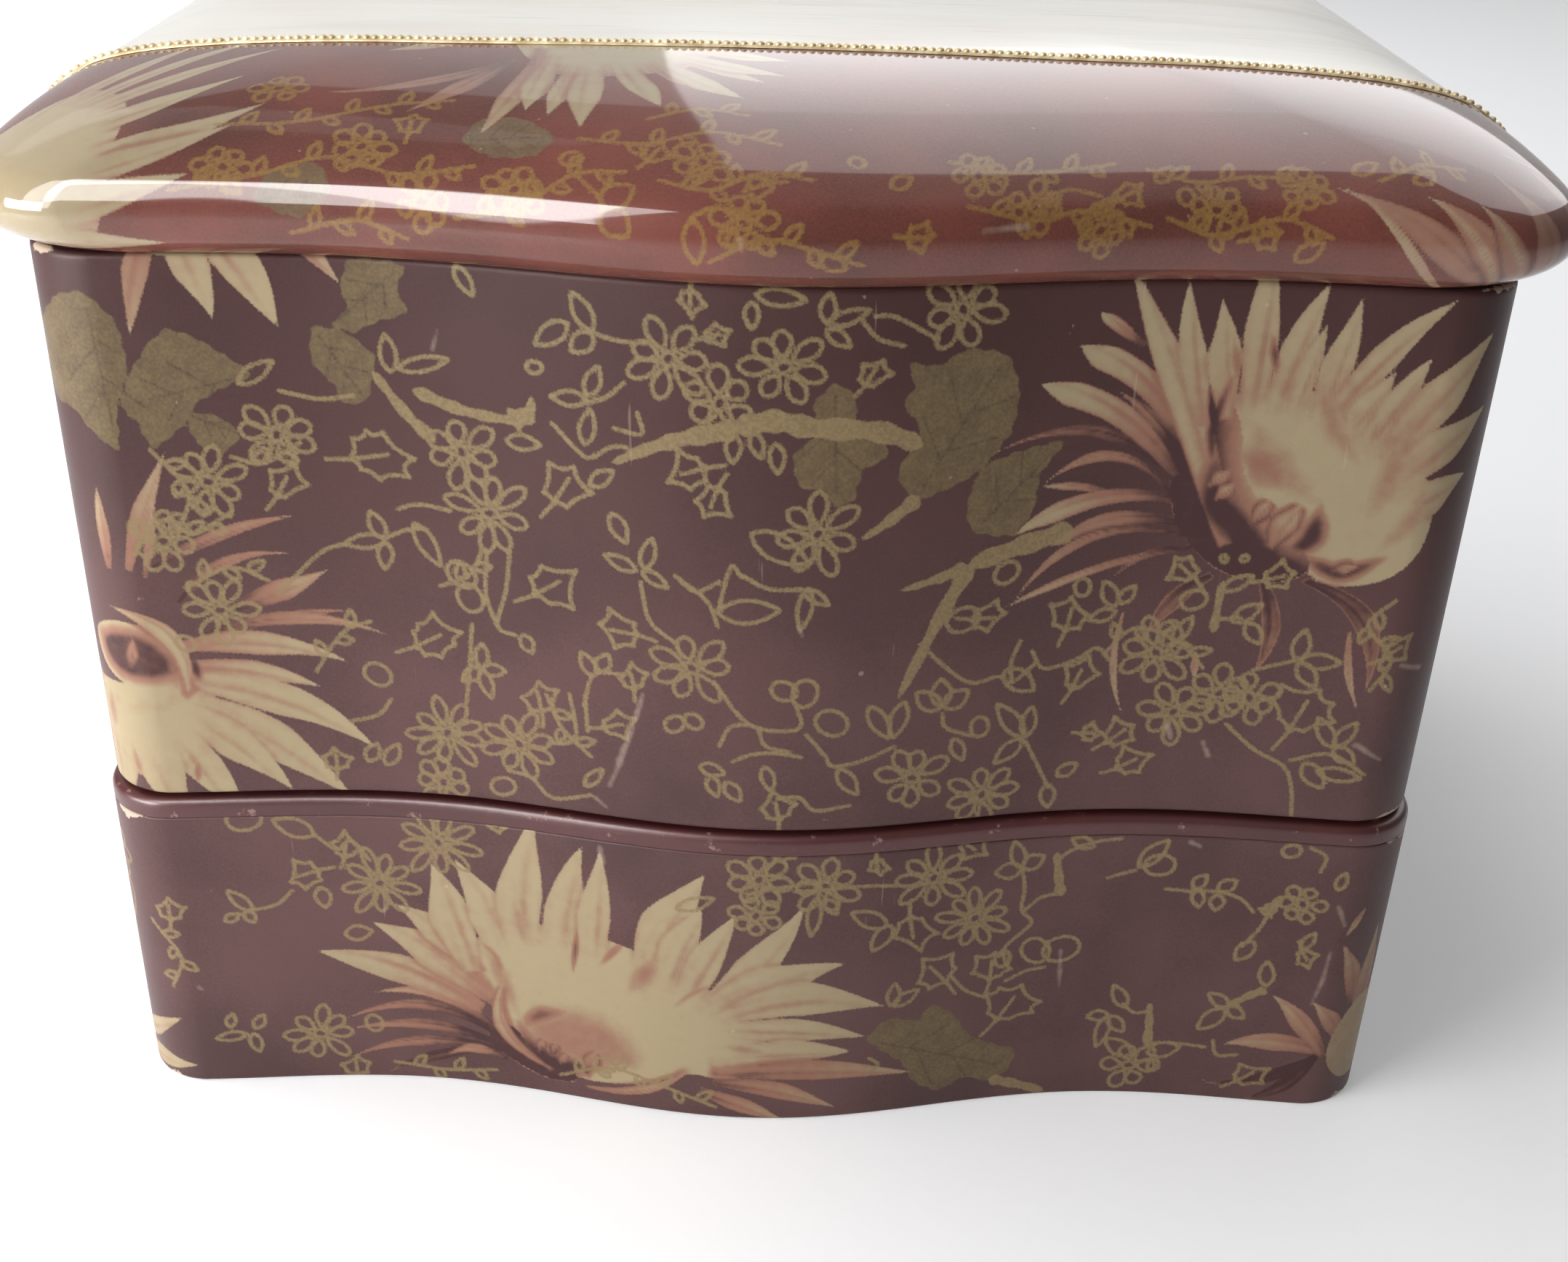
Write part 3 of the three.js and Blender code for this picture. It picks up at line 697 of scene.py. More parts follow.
# %% The upper tray's blossoms
upper_blossoms = [
    *petals([(-66, 138, -54.2, 127.4, 0.05, 3.2), (-76, 136, -80.5, 120.5, -0.03, 3.2)], (0.6, 0.2)),
    *petals([(-74, 138, -62.3, 121.6, 0.06, 4.2), (-76, 138, -70.2, 122.6, 0.05, 3.8)], (0.3, 0),
            broad=1.25, widest=0.6),
    patch([(-80, 142), (-79, 133), (-75, 130.5), (-70, 132), (-66, 137), (-70, 142)], 0.05),
    *petals([(59, 90, 51.8, 81, -0.1, 2.6), (66, 90, 67, 75.5, 0.12, 2.6),
             (72, 90, 82.3, 73.5, 0.22, 3)], (0.95, 0.6)),
    *petals([(48, 84, 49.6, 68.6, -0.08, 1), (78.8, 82.5, 81.8, 70.8, -0.05, 1.1),
             (58.8, 78, 59, 74, 0, 1.2)], (0.4, 0.1)),
    patch([(52, 109), (56, 117), (60, 112), (62, 104), (68, 98), (72, 92), (67, 89.4), (61, 90.6),
           (57, 93.5), (53, 99)], 1.0),
    *petals([(52, 104.5, 28.6, 108.6, -0.18, 1.6), (52.5, 107, 44, 116, -0.08, 1.9),
             (55.5, 94, 46, 89.8, -0.12, 1.2)], (1, 0.4), shade=0.9),
    *petals([(52.2, 102, 35.2, 103.8, -0.26, 1.5), (53.3, 97.8, 37, 94.6, -0.12, 2.5),
             (56, 95.6, 32.6, 86.6, -0.2, 1.4)], (0.8, 0.15), shade=0.9, widest=0.68),
    *petals([(45, 101.8, 35.2, 103.4, -0.05, 1.2), (52.3, 101.2, 31.8, 96.5, -0.11, 2.7),
             (56, 94.2, 31.6, 86, -0.04, 1.3)], (0.7, 0), shade=0.8, widest=0.7),
    *petals([(52.5, 104.5, 33.6, 117.5, -0.1, 3.8), (52.5, 110, 38.2, 122.4, -0.1, 4),
             (46, 122.5, 40.3, 126.6, 0, 1.8)], (0.7, 0), shade=0.8, widest=0.8),
    petal((60.3, 95, 43.6, 132.5, -0.02, 4.6), (0.35, 0), shade=0.7, widest=0.62),
    *petals([(55, 112, 51, 130.6, 0.02, 3.4), (58, 113, 55.5, 128.4, 0, 3.8),
             (61, 112, 61, 136, 0, 4.2)], (0.3, 0), broad=1.1),
    *petals([(64, 112, 68.4, 131, 0.03, 4.4), (66, 112, 68.8, 125.6, 0, 2.8),
             (69.5, 112, 72.6, 129.4, 0, 3.6)], (0.3, 0), broad=1.05),
    *petals([(71, 113, 84, 129.6, 0.05, 3.6), (73, 110, 78.3, 120, 0, 3.6),
             (76, 109, 82.3, 122, 0, 3.8)], (0.3, 0), broad=1.1),
    *petals([(79, 108, 90.5, 125.2, 0.03, 4.8), (80, 104, 92, 115, 0.04, 4.6),
             (81, 100, 90.5, 106, 0.02, 4.6)], (0.3, 0.05), broad=1.15),
    patch([(57.6, 115), (63, 117), (70, 116.5), (76, 113), (82, 109), (86, 103), (86, 96), (82, 91),
           (75, 89.6), (70.5, 92), (66, 94), (61, 98), (58, 104), (56.8, 110)], 0.05, soft=5),
    shadow([(58.4, 119), (56.6, 111.5), (57.6, 104)], 1.6, 1.0),
    shadow([(60, 107), (63, 107), (67, 103)], 4.6, 0.5),
    shadow([(57.6, 110), (58, 102), (61, 98), (66, 94.2), (71.4, 93.6)], 5, 1.15),
    shadow([(68, 93.6), (71.4, 96.4), (72, 101)], 3, 1.05),
    shadow([(70.4, 93.8), (76, 91.6), (81.6, 94.2)], 2.3, 1.0),
    shadow([(70, 90.4), (78, 88.9), (84.5, 91.5)], 1.4, 0.6),
    *petals([(57.4, 103.4, 59.6, 105.4, 0, 1.7), (58.4, 101.4, 60.4, 103.6, 0, 1.7),
             (63.6, 98.2, 65.6, 101.6, 0, 1.9), (66.4, 95, 69.8, 101.4, 0.05, 3.1),
             (75.2, 91.9, 78, 92.6, 0, 1.4)], (0.45, 0.08), shade=0.9),
    shadow([(62.4, 124), (63.6, 118.6)], 1.1, 0.85),
    shadow([(57.4, 124), (58.5, 120), (60, 115)], 1.3, 0.5),
    shadow([(69.5, 117), (70.8, 114)], 1.8, 0.4),
    shadow([(72, 116), (73.5, 112)], 1.2, 0.35),
    shadow([(77.5, 114), (76.5, 109)], 1.2, 0.35),
    shadow([(61, 113), (66, 106), (72, 101)], 4, 0.3),
    shadow([(69, 119), (72, 112), (76, 107)], 3, 0.34),
    shadow([(80, 113), (80, 106), (78, 99)], 3.4, 0.34),
    shadow([(84, 106), (84, 100), (80, 95)], 3, 0.3),
    *petals([(-88, 88, -88, 99.5, 0, 2), (-85, 88, -78.2, 104.6, 0.03, 2.4),
             (-83, 87, -80.4, 98, 0, 1.3)], (0.5, 0.1), shade=0.5),
    *petals([(-82, 88, -62.8, 95.6, 0.05, 1.9), (-79, 83, -64.2, 90, 0.15, 1.7),
             (-70, 79, -57, 81.5, 0.05, 1.1)], (0.8, 0.2), shade=0.8),
    *petals([(-76, 78, -52, 78, 0.1, 2), (-72, 82, -59.2, 87.6, -0.02, 3.1)], (0.8, 0.05), shade=0.8),
    *petals([(-80, 76, -57.6, 73.6, 0.08, 3.7), (-80, 73, -61.7, 69.6, 0.05, 3.3)], (0.45, 0),
            shade=0.6),
    *petals([(-80, 71, -55, 60, 0.08, 4.8), (-80, 68, -58.6, 51, 0.06, 5),
             (-82, 67, -67, 52.6, 0.05, 4.8), (-84, 66, -74, 48, 0, 5), (-87, 66, -82, 46, 0, 5.4),
             (-92, 66, -92, 46, 0, 5.4), (-95, 67, -101, 52, 0, 5), (-95, 70, -106, 63, 0, 4.4)],
            (0.2, 0), broad=1.15),
    patch([(-96, 69), (-84, 70), (-79, 72), (-76, 68), (-76, 63), (-80, 58), (-86, 55), (-92, 56),
           (-96, 60), (-97, 65)], 0.03, soft=5),
    patch([(-89, 79.5), (-84, 79), (-80, 75), (-80.5, 70.5), (-87, 69.5), (-92, 72), (-93, 77)], 0.9,
          soft=2.5),
    shadow([(-78.6, 75), (-77.8, 70.5)], 1.8, 1.0),
    petal((-79.5, 69.5, -89.2, 81.8, -0.24, 2.9), (0.12, 0.1), shade=0.7),
    petal((-87, 73, -86, 77, 0, 1.6), (0.6, 0.3), shade=0.5),
    shadow([(-92, 68), (-92.5, 61)], 2, 0.35),
    shadow([(-89, 60), (-88, 54)], 1.2, 0.4),
    shadow([(-79.6, 58), (-80, 54)], 0.9, 0.6),
]
print("Upper painted shapes:", len(upper_blossoms))

# %% The upper tray's leaves and gold drawing
upper_solid = [
    [(-89.4, 125), (-85.4, 125.8), (-82, 122), (-81.4, 116), (-83.4, 110.6), (-84, 105), (-87.4, 107.6),
     (-89.6, 110), (-94, 111), (-96, 119)],
    [(-78.6, 119), (-76, 121.2), (-72.6, 120), (-69.6, 118), (-66.2, 115.2), (-70, 113.4),
     (-73.6, 111.2), (-75.4, 108.4), (-79.6, 105.2), (-81, 108.6), (-82.8, 111), (-81.4, 115)],
    [(-75, 110), (-71, 109.5), (-68.5, 107), (-71, 104.5), (-74, 106)],
    [(-54, 127), (-52.5, 130.5), (-46, 130), (-47, 127), (-46, 124), (-50, 122.5), (-53, 121),
     (-55.5, 122), (-53.5, 124)],
    [(-58, 121.5), (-54, 121), (-50.5, 118), (-51, 115), (-52, 112), (-55, 111.5), (-56, 114),
     (-58.5, 117)],
    [(5, 116), (7.5, 118.6), (10, 117), (10.5, 113.5), (14, 111), (14.3, 108.5), (11.5, 107),
     (10.5, 103), (8.3, 102), (6.5, 104), (3.5, 105), (2.6, 109), (5.5, 112)],
    [(16.6, 121), (17.4, 118), (16.2, 115.6), (18.5, 112.1), (16, 106.4), (18.4, 102.6), (23.2, 104.2),
     (26.8, 106.4), (30.3, 111.4), (30.8, 117.1), (28.8, 121.6), (23.9, 122.6), (20.3, 120.6)],
    [(26.8, 106.4), (25.3, 101.2), (26.4, 97.6), (31.6, 96.6), (34.1, 100.1), (34.7, 105.4),
     (37.4, 109.6), (31.6, 108.5)],
]
upper_branches = [
    branch([(19, 110), (13, 112.2), (5, 112.8), (0, 113.6), (-5, 112.4)], 1.3, 1.5),
    branch([(-4, 112.6), (-10, 111), (-15, 109.2), (-20.4, 106.4)], 1.5, 0.5),
    branch([(-51, 116), (-47, 110.5), (-43.3, 106.8)], 0.55, 0.9),
    branch([(-46, 113.8), (-40, 111.6), (-34, 110.8), (-30, 111)], 0.9, 0.5),
    branch([(40, 97), (33, 95), (26, 92.6)], 1.6, 1.1),
    branch([(26.5, 93), (22.5, 84.5), (17.8, 73)], 1.2, 0.55),
    branch([(26, 92.6), (22, 91), (17.2, 89.6)], 1.0, 0.3),
    branch([(19, 103), (15, 99.6), (11.6, 97.2)], 1.1, 0.3),
    branch([(60.9, 89.4), (60.6, 81.4)], 0.5, 0.6),
    branch([(-33.4, 110.6), (-31, 112), (-30.4, 114.4)], 1.7, 0.2),
]
upper_gold = gold_strokes(
    daisies=[
        (-40, 105.7, 7, 4.8), (-36.7, 97.4, 8, 5.6), (-44.4, 62.9, 9, 5.5), (-34.2, 62.4, 8, 5.2),
        (-73.9, 81.6, 8, 5), (-63.9, 107, 7, 4.6), (-73.3, 100.5, 8, 5), (-45.5, 54.6, 7, 4),
        (-13.1, 121, 7, 5.2), (1.1, 120.7, 7, 5), (-6.7, 115.7, 6, 4.5), (6.1, 98.2, 7, 5.8),
        (-10, 77.9, 7, 5.4), (20.6, 60.2, 7, 5), (30.8, 56.3, 8, 5), (22.8, 127.7, 7, 5),
        (53.3, 78.2, 7, 5.2), (56.9, 68.8, 7, 4.9), (62.8, 72.1, 6, 4.2), (67, 71.6, 6, 4),
        (-100, 92, 7, 5), (-104, 124, 7, 5), (104, 84, 7, 5), (100, 62, 7, 5), (-80, 92, 7, 4.4),
    ],
    loops=[
        (-22.5, 123.8, -25, 128.4, 2.3), (-25.6, 124.4, -29.8, 121.2, 2.5),
        (-22.5, 123.3, -25.2, 120.8, 2.5), (-23.3, 115.2, -21.8, 119.2, 2),
        (-23.5, 114.6, -28, 114.6, 2), (-23.8, 108.6, -23, 113.4, 2), (-34, 108, -29.6, 107.8, 2),
        (-23.2, 103, -20.2, 105.4, 1.9), (-20.5, 99.4, -18.6, 95.4, 2.1),
        (-17.4, 91.6, -21.5, 93.4, 1.8), (-16.3, 92, -15.2, 96.5, 1.9), (-16.5, 91.6, -13.2, 89.6, 1.6),
        (-6.5, 86.5, 1.6, 87.2, 3.4), (4.6, 90.2, 7.9, 88, 1.5), (5.2, 90.4, 4.3, 84.2, 1.9),
        (-23.3, 75, -25, 78.4, 1.9), (-22.6, 75.8, -21.3, 78.6, 1.9), (-51, 92.4, -56.5, 91.6, 2),
        (-51.2, 92.6, -52.8, 96.4, 2), (-51, 92, -51.4, 88, 2), (-47, 95, -43.8, 89, 2.3),
        (-39, 74, -38.7, 77.8, 1.8), (-38.8, 73.8, -35.6, 73.8, 1.8), (-39, 73.6, -37.8, 69.3, 1.8),
        (-39.2, 73.8, -41.8, 71.6, 1.8), (-48.5, 116, -49, 121, 2.1), (-47.5, 116.5, -41, 118.2, 1.9),
        (-39.5, 130.4, -37.4, 126.8, 1.7), (-68, 114, -63.4, 117, 2), (-25, 57, -22.4, 60.2, 1.6),
        (6.1, 126.5, 6.4, 130.2, 1.9), (6.5, 126.3, 11.3, 128, 1.7), (6.2, 125.6, 9.2, 123.4, 1.7),
        (-3, 128.8, -2.9, 125.4, 1.7), (-2.5, 129.8, 3.6, 129.2, 2.1), (-4.8, 111.6, -5, 107.8, 1.9),
        (-2.5, 112, -1.4, 108.6, 1.7), (0.4, 110.6, 0.8, 106.6, 1.9), (-2.4, 98.2, 5, 94, 3.6),
        (14, 72.2, 17, 67, 2.3), (18.8, 72.6, 17.5, 67, 2.3), (24, 71.4, 23.6, 75.8, 2.8),
        (23.6, 71, 20.4, 74, 2.6), (24.4, 71.2, 27.6, 73.6, 2.7), (26, 66, 27.6, 62.4, 1.8),
        (32.4, 76.2, 36.8, 72.8, 3.1), (36, 65.4, 31.8, 71, 2.5), (36.3, 65.4, 36.8, 70.2, 2.1),
        (35.8, 65, 32.2, 61.4, 2.3), (41.4, 58.6, 44.2, 60.4, 1.9), (40.2, 57.2, 40.6, 53.2, 2.1),
        (46.8, 85.4, 44.9, 89.2, 2.1), (47.4, 85.8, 49.2, 88.4, 1.7), (47, 84.6, 43.4, 83.4, 1.8),
        (55.4, 80, 57.6, 83.8, 1.9), (63, 83.4, 66.6, 86.2, 2.1), (65, 83.2, 67.2, 80.2, 2.1),
        (61, 88, 64.8, 90.4, 1.8), (72.5, 78, 73, 82.8, 2.3), (73, 78, 78.4, 78, 2.3),
        (72.8, 77.6, 75.6, 74, 2.3), (76, 61.6, 79.2, 57.8, 2.7), (78, 60.5, 84.2, 59.7, 2.1),
        (79.5, 64.6, 76.8, 69.2, 2.1), (79.7, 64.8, 82.2, 68.8, 2.1), (79.8, 64.4, 82.8, 62.2, 2.2),
        (-8.8, 62.6, -5.4, 61.6, 1.9), (-5.2, 60.2, -3.2, 57.2, 2), (-7.4, 61, -6.4, 57.8, 1.8),
        (0, 63, 1.2, 59, 1.8), (10.2, 62.4, 13, 58.2, 2.2), (-53.5, 57, -51.5, 60.5, 2),
        (-56, 57.5, -54.5, 60.5, 2), (-33, 79.8, -31.8, 77.2, 1.8),
    ],
    leaves=[
        (-27, 101.8, 7.6, 60), (-52.2, 104.2, 8.8, 10, 7), (-46.3, 77.4, 7.6, 30, 7),
        (-29.4, 87.4, 8, 35), (-64, 99.6, 6, 60), (-31, 69.6, 6, 100), (-21, 67.4, 5.4, 20),
        (-19, 82.2, 6.6, 175), (-18, 74.8, 4.6, 100), (-7.8, 124.3, 3.6, 20), (-9.8, 106.4, 6.2, 200),
        (-7.2, 103, 5.6, 250), (28.6, 84.6, 5.4, 0), (40.6, 83.6, 6.4, 80), (42.6, 74, 6, 70),
        (74, 69.2, 9.6, 70, 7), (49.2, 64.8, 5.6, 40), (51.2, 60.2, 5.8, 30), (45.2, 65.4, 3.4, 0),
        (2, 55.6, 5.6, 100), (56, 90.6, 5, 140), (67.6, 90.2, 5, 20), (-10.4, 129, 3.8, 270),
        (-105, 104, 7, 40), (104, 72, 7, 100), (-60.5, 57.2, 4.6, 90), (11.8, 119.4, 4.6, 60),
        (85, 80, 5, 40),
    ],
    rings=[
        (-53.6, 71.7, 1.8), (-41, 88, 1.9), (-40, 84.6, 1.9), (2.4, 75, 1.6), (5.2, 74.6, 1.9),
        (9, 69.9, 2.1), (-12.3, 68.9, 1.3), (-9.7, 69.6, 1.2), (29.6, 67.6, 1.4), (26, 84.6, 2),
        (42, 88.4, 1.2), (60.6, 92.7, 0.5), (63.3, 92.9, 0.5), (-36.8, 55, 1.6), (-30, 118.2, 0.9),
        (57.4, 86.4, 1.6), (31.4, 91.2, 1.6), (-79, 76.6, 1.2),
    ],
    stems=[
        [(-22, 123.4), (-19.5, 122.8), (-16, 122.8)], [(-24, 114), (-21, 115.2), (-18.6, 117.4)],
        [(-28, 111), (-24, 107), (-22.6, 107.2)], [(-20, 111.2), (-16.5, 110.8), (-17, 113.6)],
        [(-22.6, 107), (-20.4, 108.6), (-18.4, 108.8)], [(-12.2, 91.4), (-9.6, 89.4), (-6.4, 91)],
        [(-11.6, 91), (-8, 88), (-6.6, 84.4)], [(-6.6, 86.6), (-5, 93.2), (-3.6, 91.8)],
        [(-3.6, 92.2), (0, 90.3), (4.4, 90.3)], [(-16.8, 90), (-15.6, 84.4), (-12.4, 81.6)],
        [(-24.8, 70), (-23.4, 75), (-19.6, 75.8)], [(-26.8, 71.6), (-26, 66), (-27, 63.8), (-30, 63.2)],
        [(-24.6, 71.8), (-24.4, 66)], [(-52, 67.8), (-54, 65.2), (-58, 64)],
        [(-51, 92.6), (-48, 94), (-45.4, 94.4)], [(-49, 97), (-46, 97.8), (-42, 97.2)],
        [(-34.2, 92.7), (-35, 86.5), (-36.4, 80.8), (-34, 79.6)],
        [(-37.4, 92), (-37.8, 85.5), (-36.6, 81)], [(-40, 80.6), (-40.6, 74.4), (-41.4, 68)],
        [(-63, 113), (-58, 112), (-53.6, 112.6)], [(10.4, 126.8), (12.5, 124.4), (15.8, 123.3)],
        [(-7, 76), (-3.4, 70.8), (0.1, 68.9), (4.7, 69.3), (4, 73)],
        [(-6.2, 66), (-4.6, 69.2), (-1.2, 69.2), (0, 66.4), (3.4, 65.4)],
        [(-4.4, 63.6), (-2, 64.8), (1, 65.2), (5, 64.6)],
        [(5.6, 68.2), (8.2, 64.8), (9.4, 63), (13.3, 63.6), (17.8, 65.6)],
        [(24.2, 70.2), (24.8, 68), (28.6, 66.2)], [(2, 57.8), (5, 58), (7.2, 55.8), (12, 56.4)],
        [(20.4, 81.4), (25.1, 76.6), (28.2, 74.7), (31.6, 75.4), (33.5, 74.2), (36.8, 77.3)],
        [(33.5, 74.4), (33.2, 77.4), (34.2, 80.7)], [(36.4, 64.6), (38.6, 60.2), (40.4, 56.6)],
        [(36, 79), (37.8, 76.2), (42, 77.2), (45, 79), (47, 77)],
        [(64.4, 67.2), (68.8, 63.4), (73.4, 60.8), (75, 57), (75.6, 52.8)],
        [(66.8, 76), (69.6, 77), (72.4, 78)], [(74, 62), (79.4, 63.4), (84.6, 60.4)],
        [(-36, 57.8), (-32.6, 57), (-29.6, 54.2), (-24, 55.6)], [(-66, 84), (-60, 90), (-56.4, 91.6)],
        [(-106, 98), (-100, 92), (-98, 84), (-104, 76)],
        [(96, 98), (104, 92), (104, 84), (100, 76), (104, 66)], [(-108, 130), (-104, 124), (-98, 118)],
        [(61, 83.6), (64, 84)], [(20, 124), (14.6, 127), (12, 127.2)],
    ],
    sprays=[
        [(-84, 90), (-80, 95), (-76, 93), (-71, 96)], [(-80, 105), (-76, 99), (-78, 93)],
        [(-78, 85), (-72, 88), (-67, 86)], [(-70, 104), (-66, 103), (-61, 106)],
        [(84, 88), (81, 84), (85, 79), (83, 74)], [(-30, 71), (-28, 66), (-24, 62)],
        [(46, 78), (50, 82), (56, 80), (60, 76)], [(-44, 86), (-40, 88), (-38, 92)],
        [(-62, 72), (-58, 78), (-54, 80)],
    ],
)
upper_scuffs = [
    [(-16.6, 73), (-18.6, 66), (-21.4, 57.6)], [(-23.4, 55.2), (-22, 54)], [(4, 84.8), (4.6, 83.4)],
    [(82.6, 65.2), (86.4, 62.8)], [(86.6, 78), (90, 77)], [(56.4, 66.4), (57, 64.6)],
    [(61.6, 64), (62.6, 62)], [(-43, 119.4), (-42.2, 121.8)],
]
print("Upper gold strokes:", len(upper_gold), "solid leaves:", len(upper_solid))

# %% The lower tray's design
lower_blossoms = [
    *petals([(-41, 7, -57, 1, -0.05, 2)], (1, 0.7), shade=0.9),
    *petals([(-39.4, 7.2, -62.4, 4, -0.085, 2), (-40, 8.5, -62, 9.5, -0.08, 2.3),
             (-39.4, 10, -63.2, 11.2, -0.165, 2.1)], (0.95, 0.3), shade=0.9),
    *petals([(-38.5, 5.6, -47.4, 5.2, -0.16, 1.8), (-40, 11.5, -58, 16.6, -0.15, 2.6)], (0.75, 0.08),
            shade=0.9),
    *petals([(-42, 15, -66, 24.4, -0.055, 5), (-40, 17, -57.4, 29.8, -0.04, 5.4),
             (-42, 22, -53.8, 33.2, -0.05, 4)], (0.45, 0), shade=0.5, broad=1.15, widest=0.55),
    *petals([(-43, 22, -48, 41, 0, 5), (-36, 22, -44.4, 42, -0.03, 5.4),
             (-34, 22, -32.3, 51.5, 0.07, 5.2), (-29, 22, -25.6, 47.2, 0.05, 5.2),
             (-25, 22, -23, 47, 0, 3.8), (-17, 24, -8, 45, 0.06, 5.4), (-14, 22, -8.4, 39, 0.03, 4.6)],
            (0.2, 0), broad=1.25, widest=0.52),
    *petals([(-12, 20, -3.6, 38.2, 0, 4.4), (-10, 18, 6.3, 40, -0.05, 4.8),
             (-8, 20, 12.8, 29.4, 0.08, 5), (-6, 19, 18.8, 20.8, 0.13, 5.2),
             (-6, 17, 16, 15.4, 0.05, 3.8), (-6, 12, 14.2, 12.8, 0.03, 4.2)], (0.2, 0), broad=1.2,
            widest=0.5),
    *petals([(-8, 5, 4, 0, 0, 3), (-6, 7, 12, 2, 0.06, 3.2), (-6, 9, 23.5, 7.4, 0.04, 3.8)],
            (0.7, 0.15), shade=0.6),
    patch([(-43, 25), (-40, 30), (-34, 32), (-26, 32), (-18, 30), (-10, 26), (-3, 21), (1, 16), (1, 11),
           (-4, 7.5), (-10, 8), (-17, 5), (-26, 4), (-34, 7), (-38, 12), (-41, 18)], 0.03, soft=5),
    patch([(-40, 12), (-37, 12), (-33, 7), (-28, 5), (-28, 3), (-33, 3.2), (-38, 6), (-41, 9)], 0.95),
    patch([(-36.5, 14), (-33, 17), (-28, 18.8), (-21, 17), (-16.5, 12), (-17, 7), (-24, 5), (-31, 5),
           (-35.5, 8.5)], 0.42, soft=4),
    shadow([(-36, 13), (-34.6, 9), (-31, 6), (-26.5, 6.5), (-24, 9)], 4.2, 1.1),
    shadow([(-35.6, 12), (-33, 15), (-28.4, 16.6)], 2.6, 0.75),
    petal((-31.5, 5, -37.5, 22, 0.25, 2.3), (0.5, 0.08), shade=0.8),
    petal((-25.6, 2.6, -9.5, 9.5, -0.13, 1.7), (0.4, 0.1), shade=0.8),
    *petals([(-33.2, 8, -32.4, 10.8, 0, 1.2), (-31, 8.2, -30.4, 10.2, 0, 1.1),
             (-30, 6, -28.8, 8.6, 0, 1.3), (-26, 6, -24, 10, 0, 2.3)], (0.6, 0.2), shade=0.9),
    shadow([(-26.6, 33), (-27, 28.5), (-27.6, 24)], 0.9, 0.8),
    shadow([(-23.4, 26.4), (-19.4, 32)], 1.2, 0.6),
    shadow([(-19, 22), (-14.4, 29.6)], 3, 0.42),
    shadow([(-42, 28), (-39.2, 25), (-38.2, 19.5)], 1.2, 0.45),
    shadow([(-44, 21), (-41, 16), (-39.5, 11)], 1.6, 0.45),
    shadow([(-36, 36), (-34.6, 28)], 2, 0.35),
    shadow([(-13, 20), (-9, 24), (-4, 26)], 1.0, 0.4),
    shadow([(-5, 14), (2, 13)], 1.8, 0.3),
    shadow([(-41, 28), (-38, 20), (-36, 14)], 2.4, 0.36),
    shadow([(-4, 10), (4, 11), (10, 10)], 2.4, 0.36),
    *petals([(86, 10, 70, 3, 0.1, 2.4), (86, 10, 76, 0, 0.1, 2.4)], (1, 0.75), shade=0.9),
    *petals([(86.4, 10.6, 71.6, 10.8, -0.1, 3.4), (86.6, 10, 77.6, 21, -0.06, 3.2),
             (89, 13, 83.8, 20.2, -0.05, 3), (90, 20, 86.6, 31, -0.06, 3), (92, 14, 93, 33, 0, 4),
             (94, 13, 101, 30, 0, 4), (95, 12, 106, 22, 0, 4), (95, 10, 107, 12, 0, 4)], (0.6, 0.15),
            shade=0.6),
    patch([(88, 14), (92, 20), (98, 18), (101, 12), (98, 5), (92, 4), (88, 8)], 0.2),
    *petals([(-100, 4, -87.4, 12, 0, 3.4), (-100, 2, -86, 3, 0, 3.4), (-102, 6, -98, 22, 0, 4),
             (-104, 6, -108, 20, 0, 4)], (0.3, 0)),
    petal((88.8, 37, 86.6, 32.6, 0, 1.2), (0.3, 0.1)),
]
lower_solid = [
    [(16.5, 14.6), (19.5, 18.2), (24, 17.4), (26, 20), (29.5, 17.6), (32, 13.4), (36, 11), (39.6, 9.4),
     (39, 6), (36.5, 3.4), (32, 5), (28, 3), (24, 5.5), (22, 9.5)],
    [(100, 28), (104, 33), (108, 30), (107, 25), (103, 23)],
]
lower_branches = [
    branch([(36, 4), (40, 2.6), (45, 0.6)], 1.0, 0.7),
    branch([(42.6, 46), (43.4, 41), (44, 38)], 0.5, 0.9),
    branch([(59.6, 18), (60, 14), (60.2, 9.4)], 0.4, 0.8),
    branch([(74, 35.6), (75.2, 37.2), (76.4, 39.4)], 1.5, 0.4),
    branch([(76.6, 22), (74, 20.4), (71, 18)], 0.8, 0.5),
]
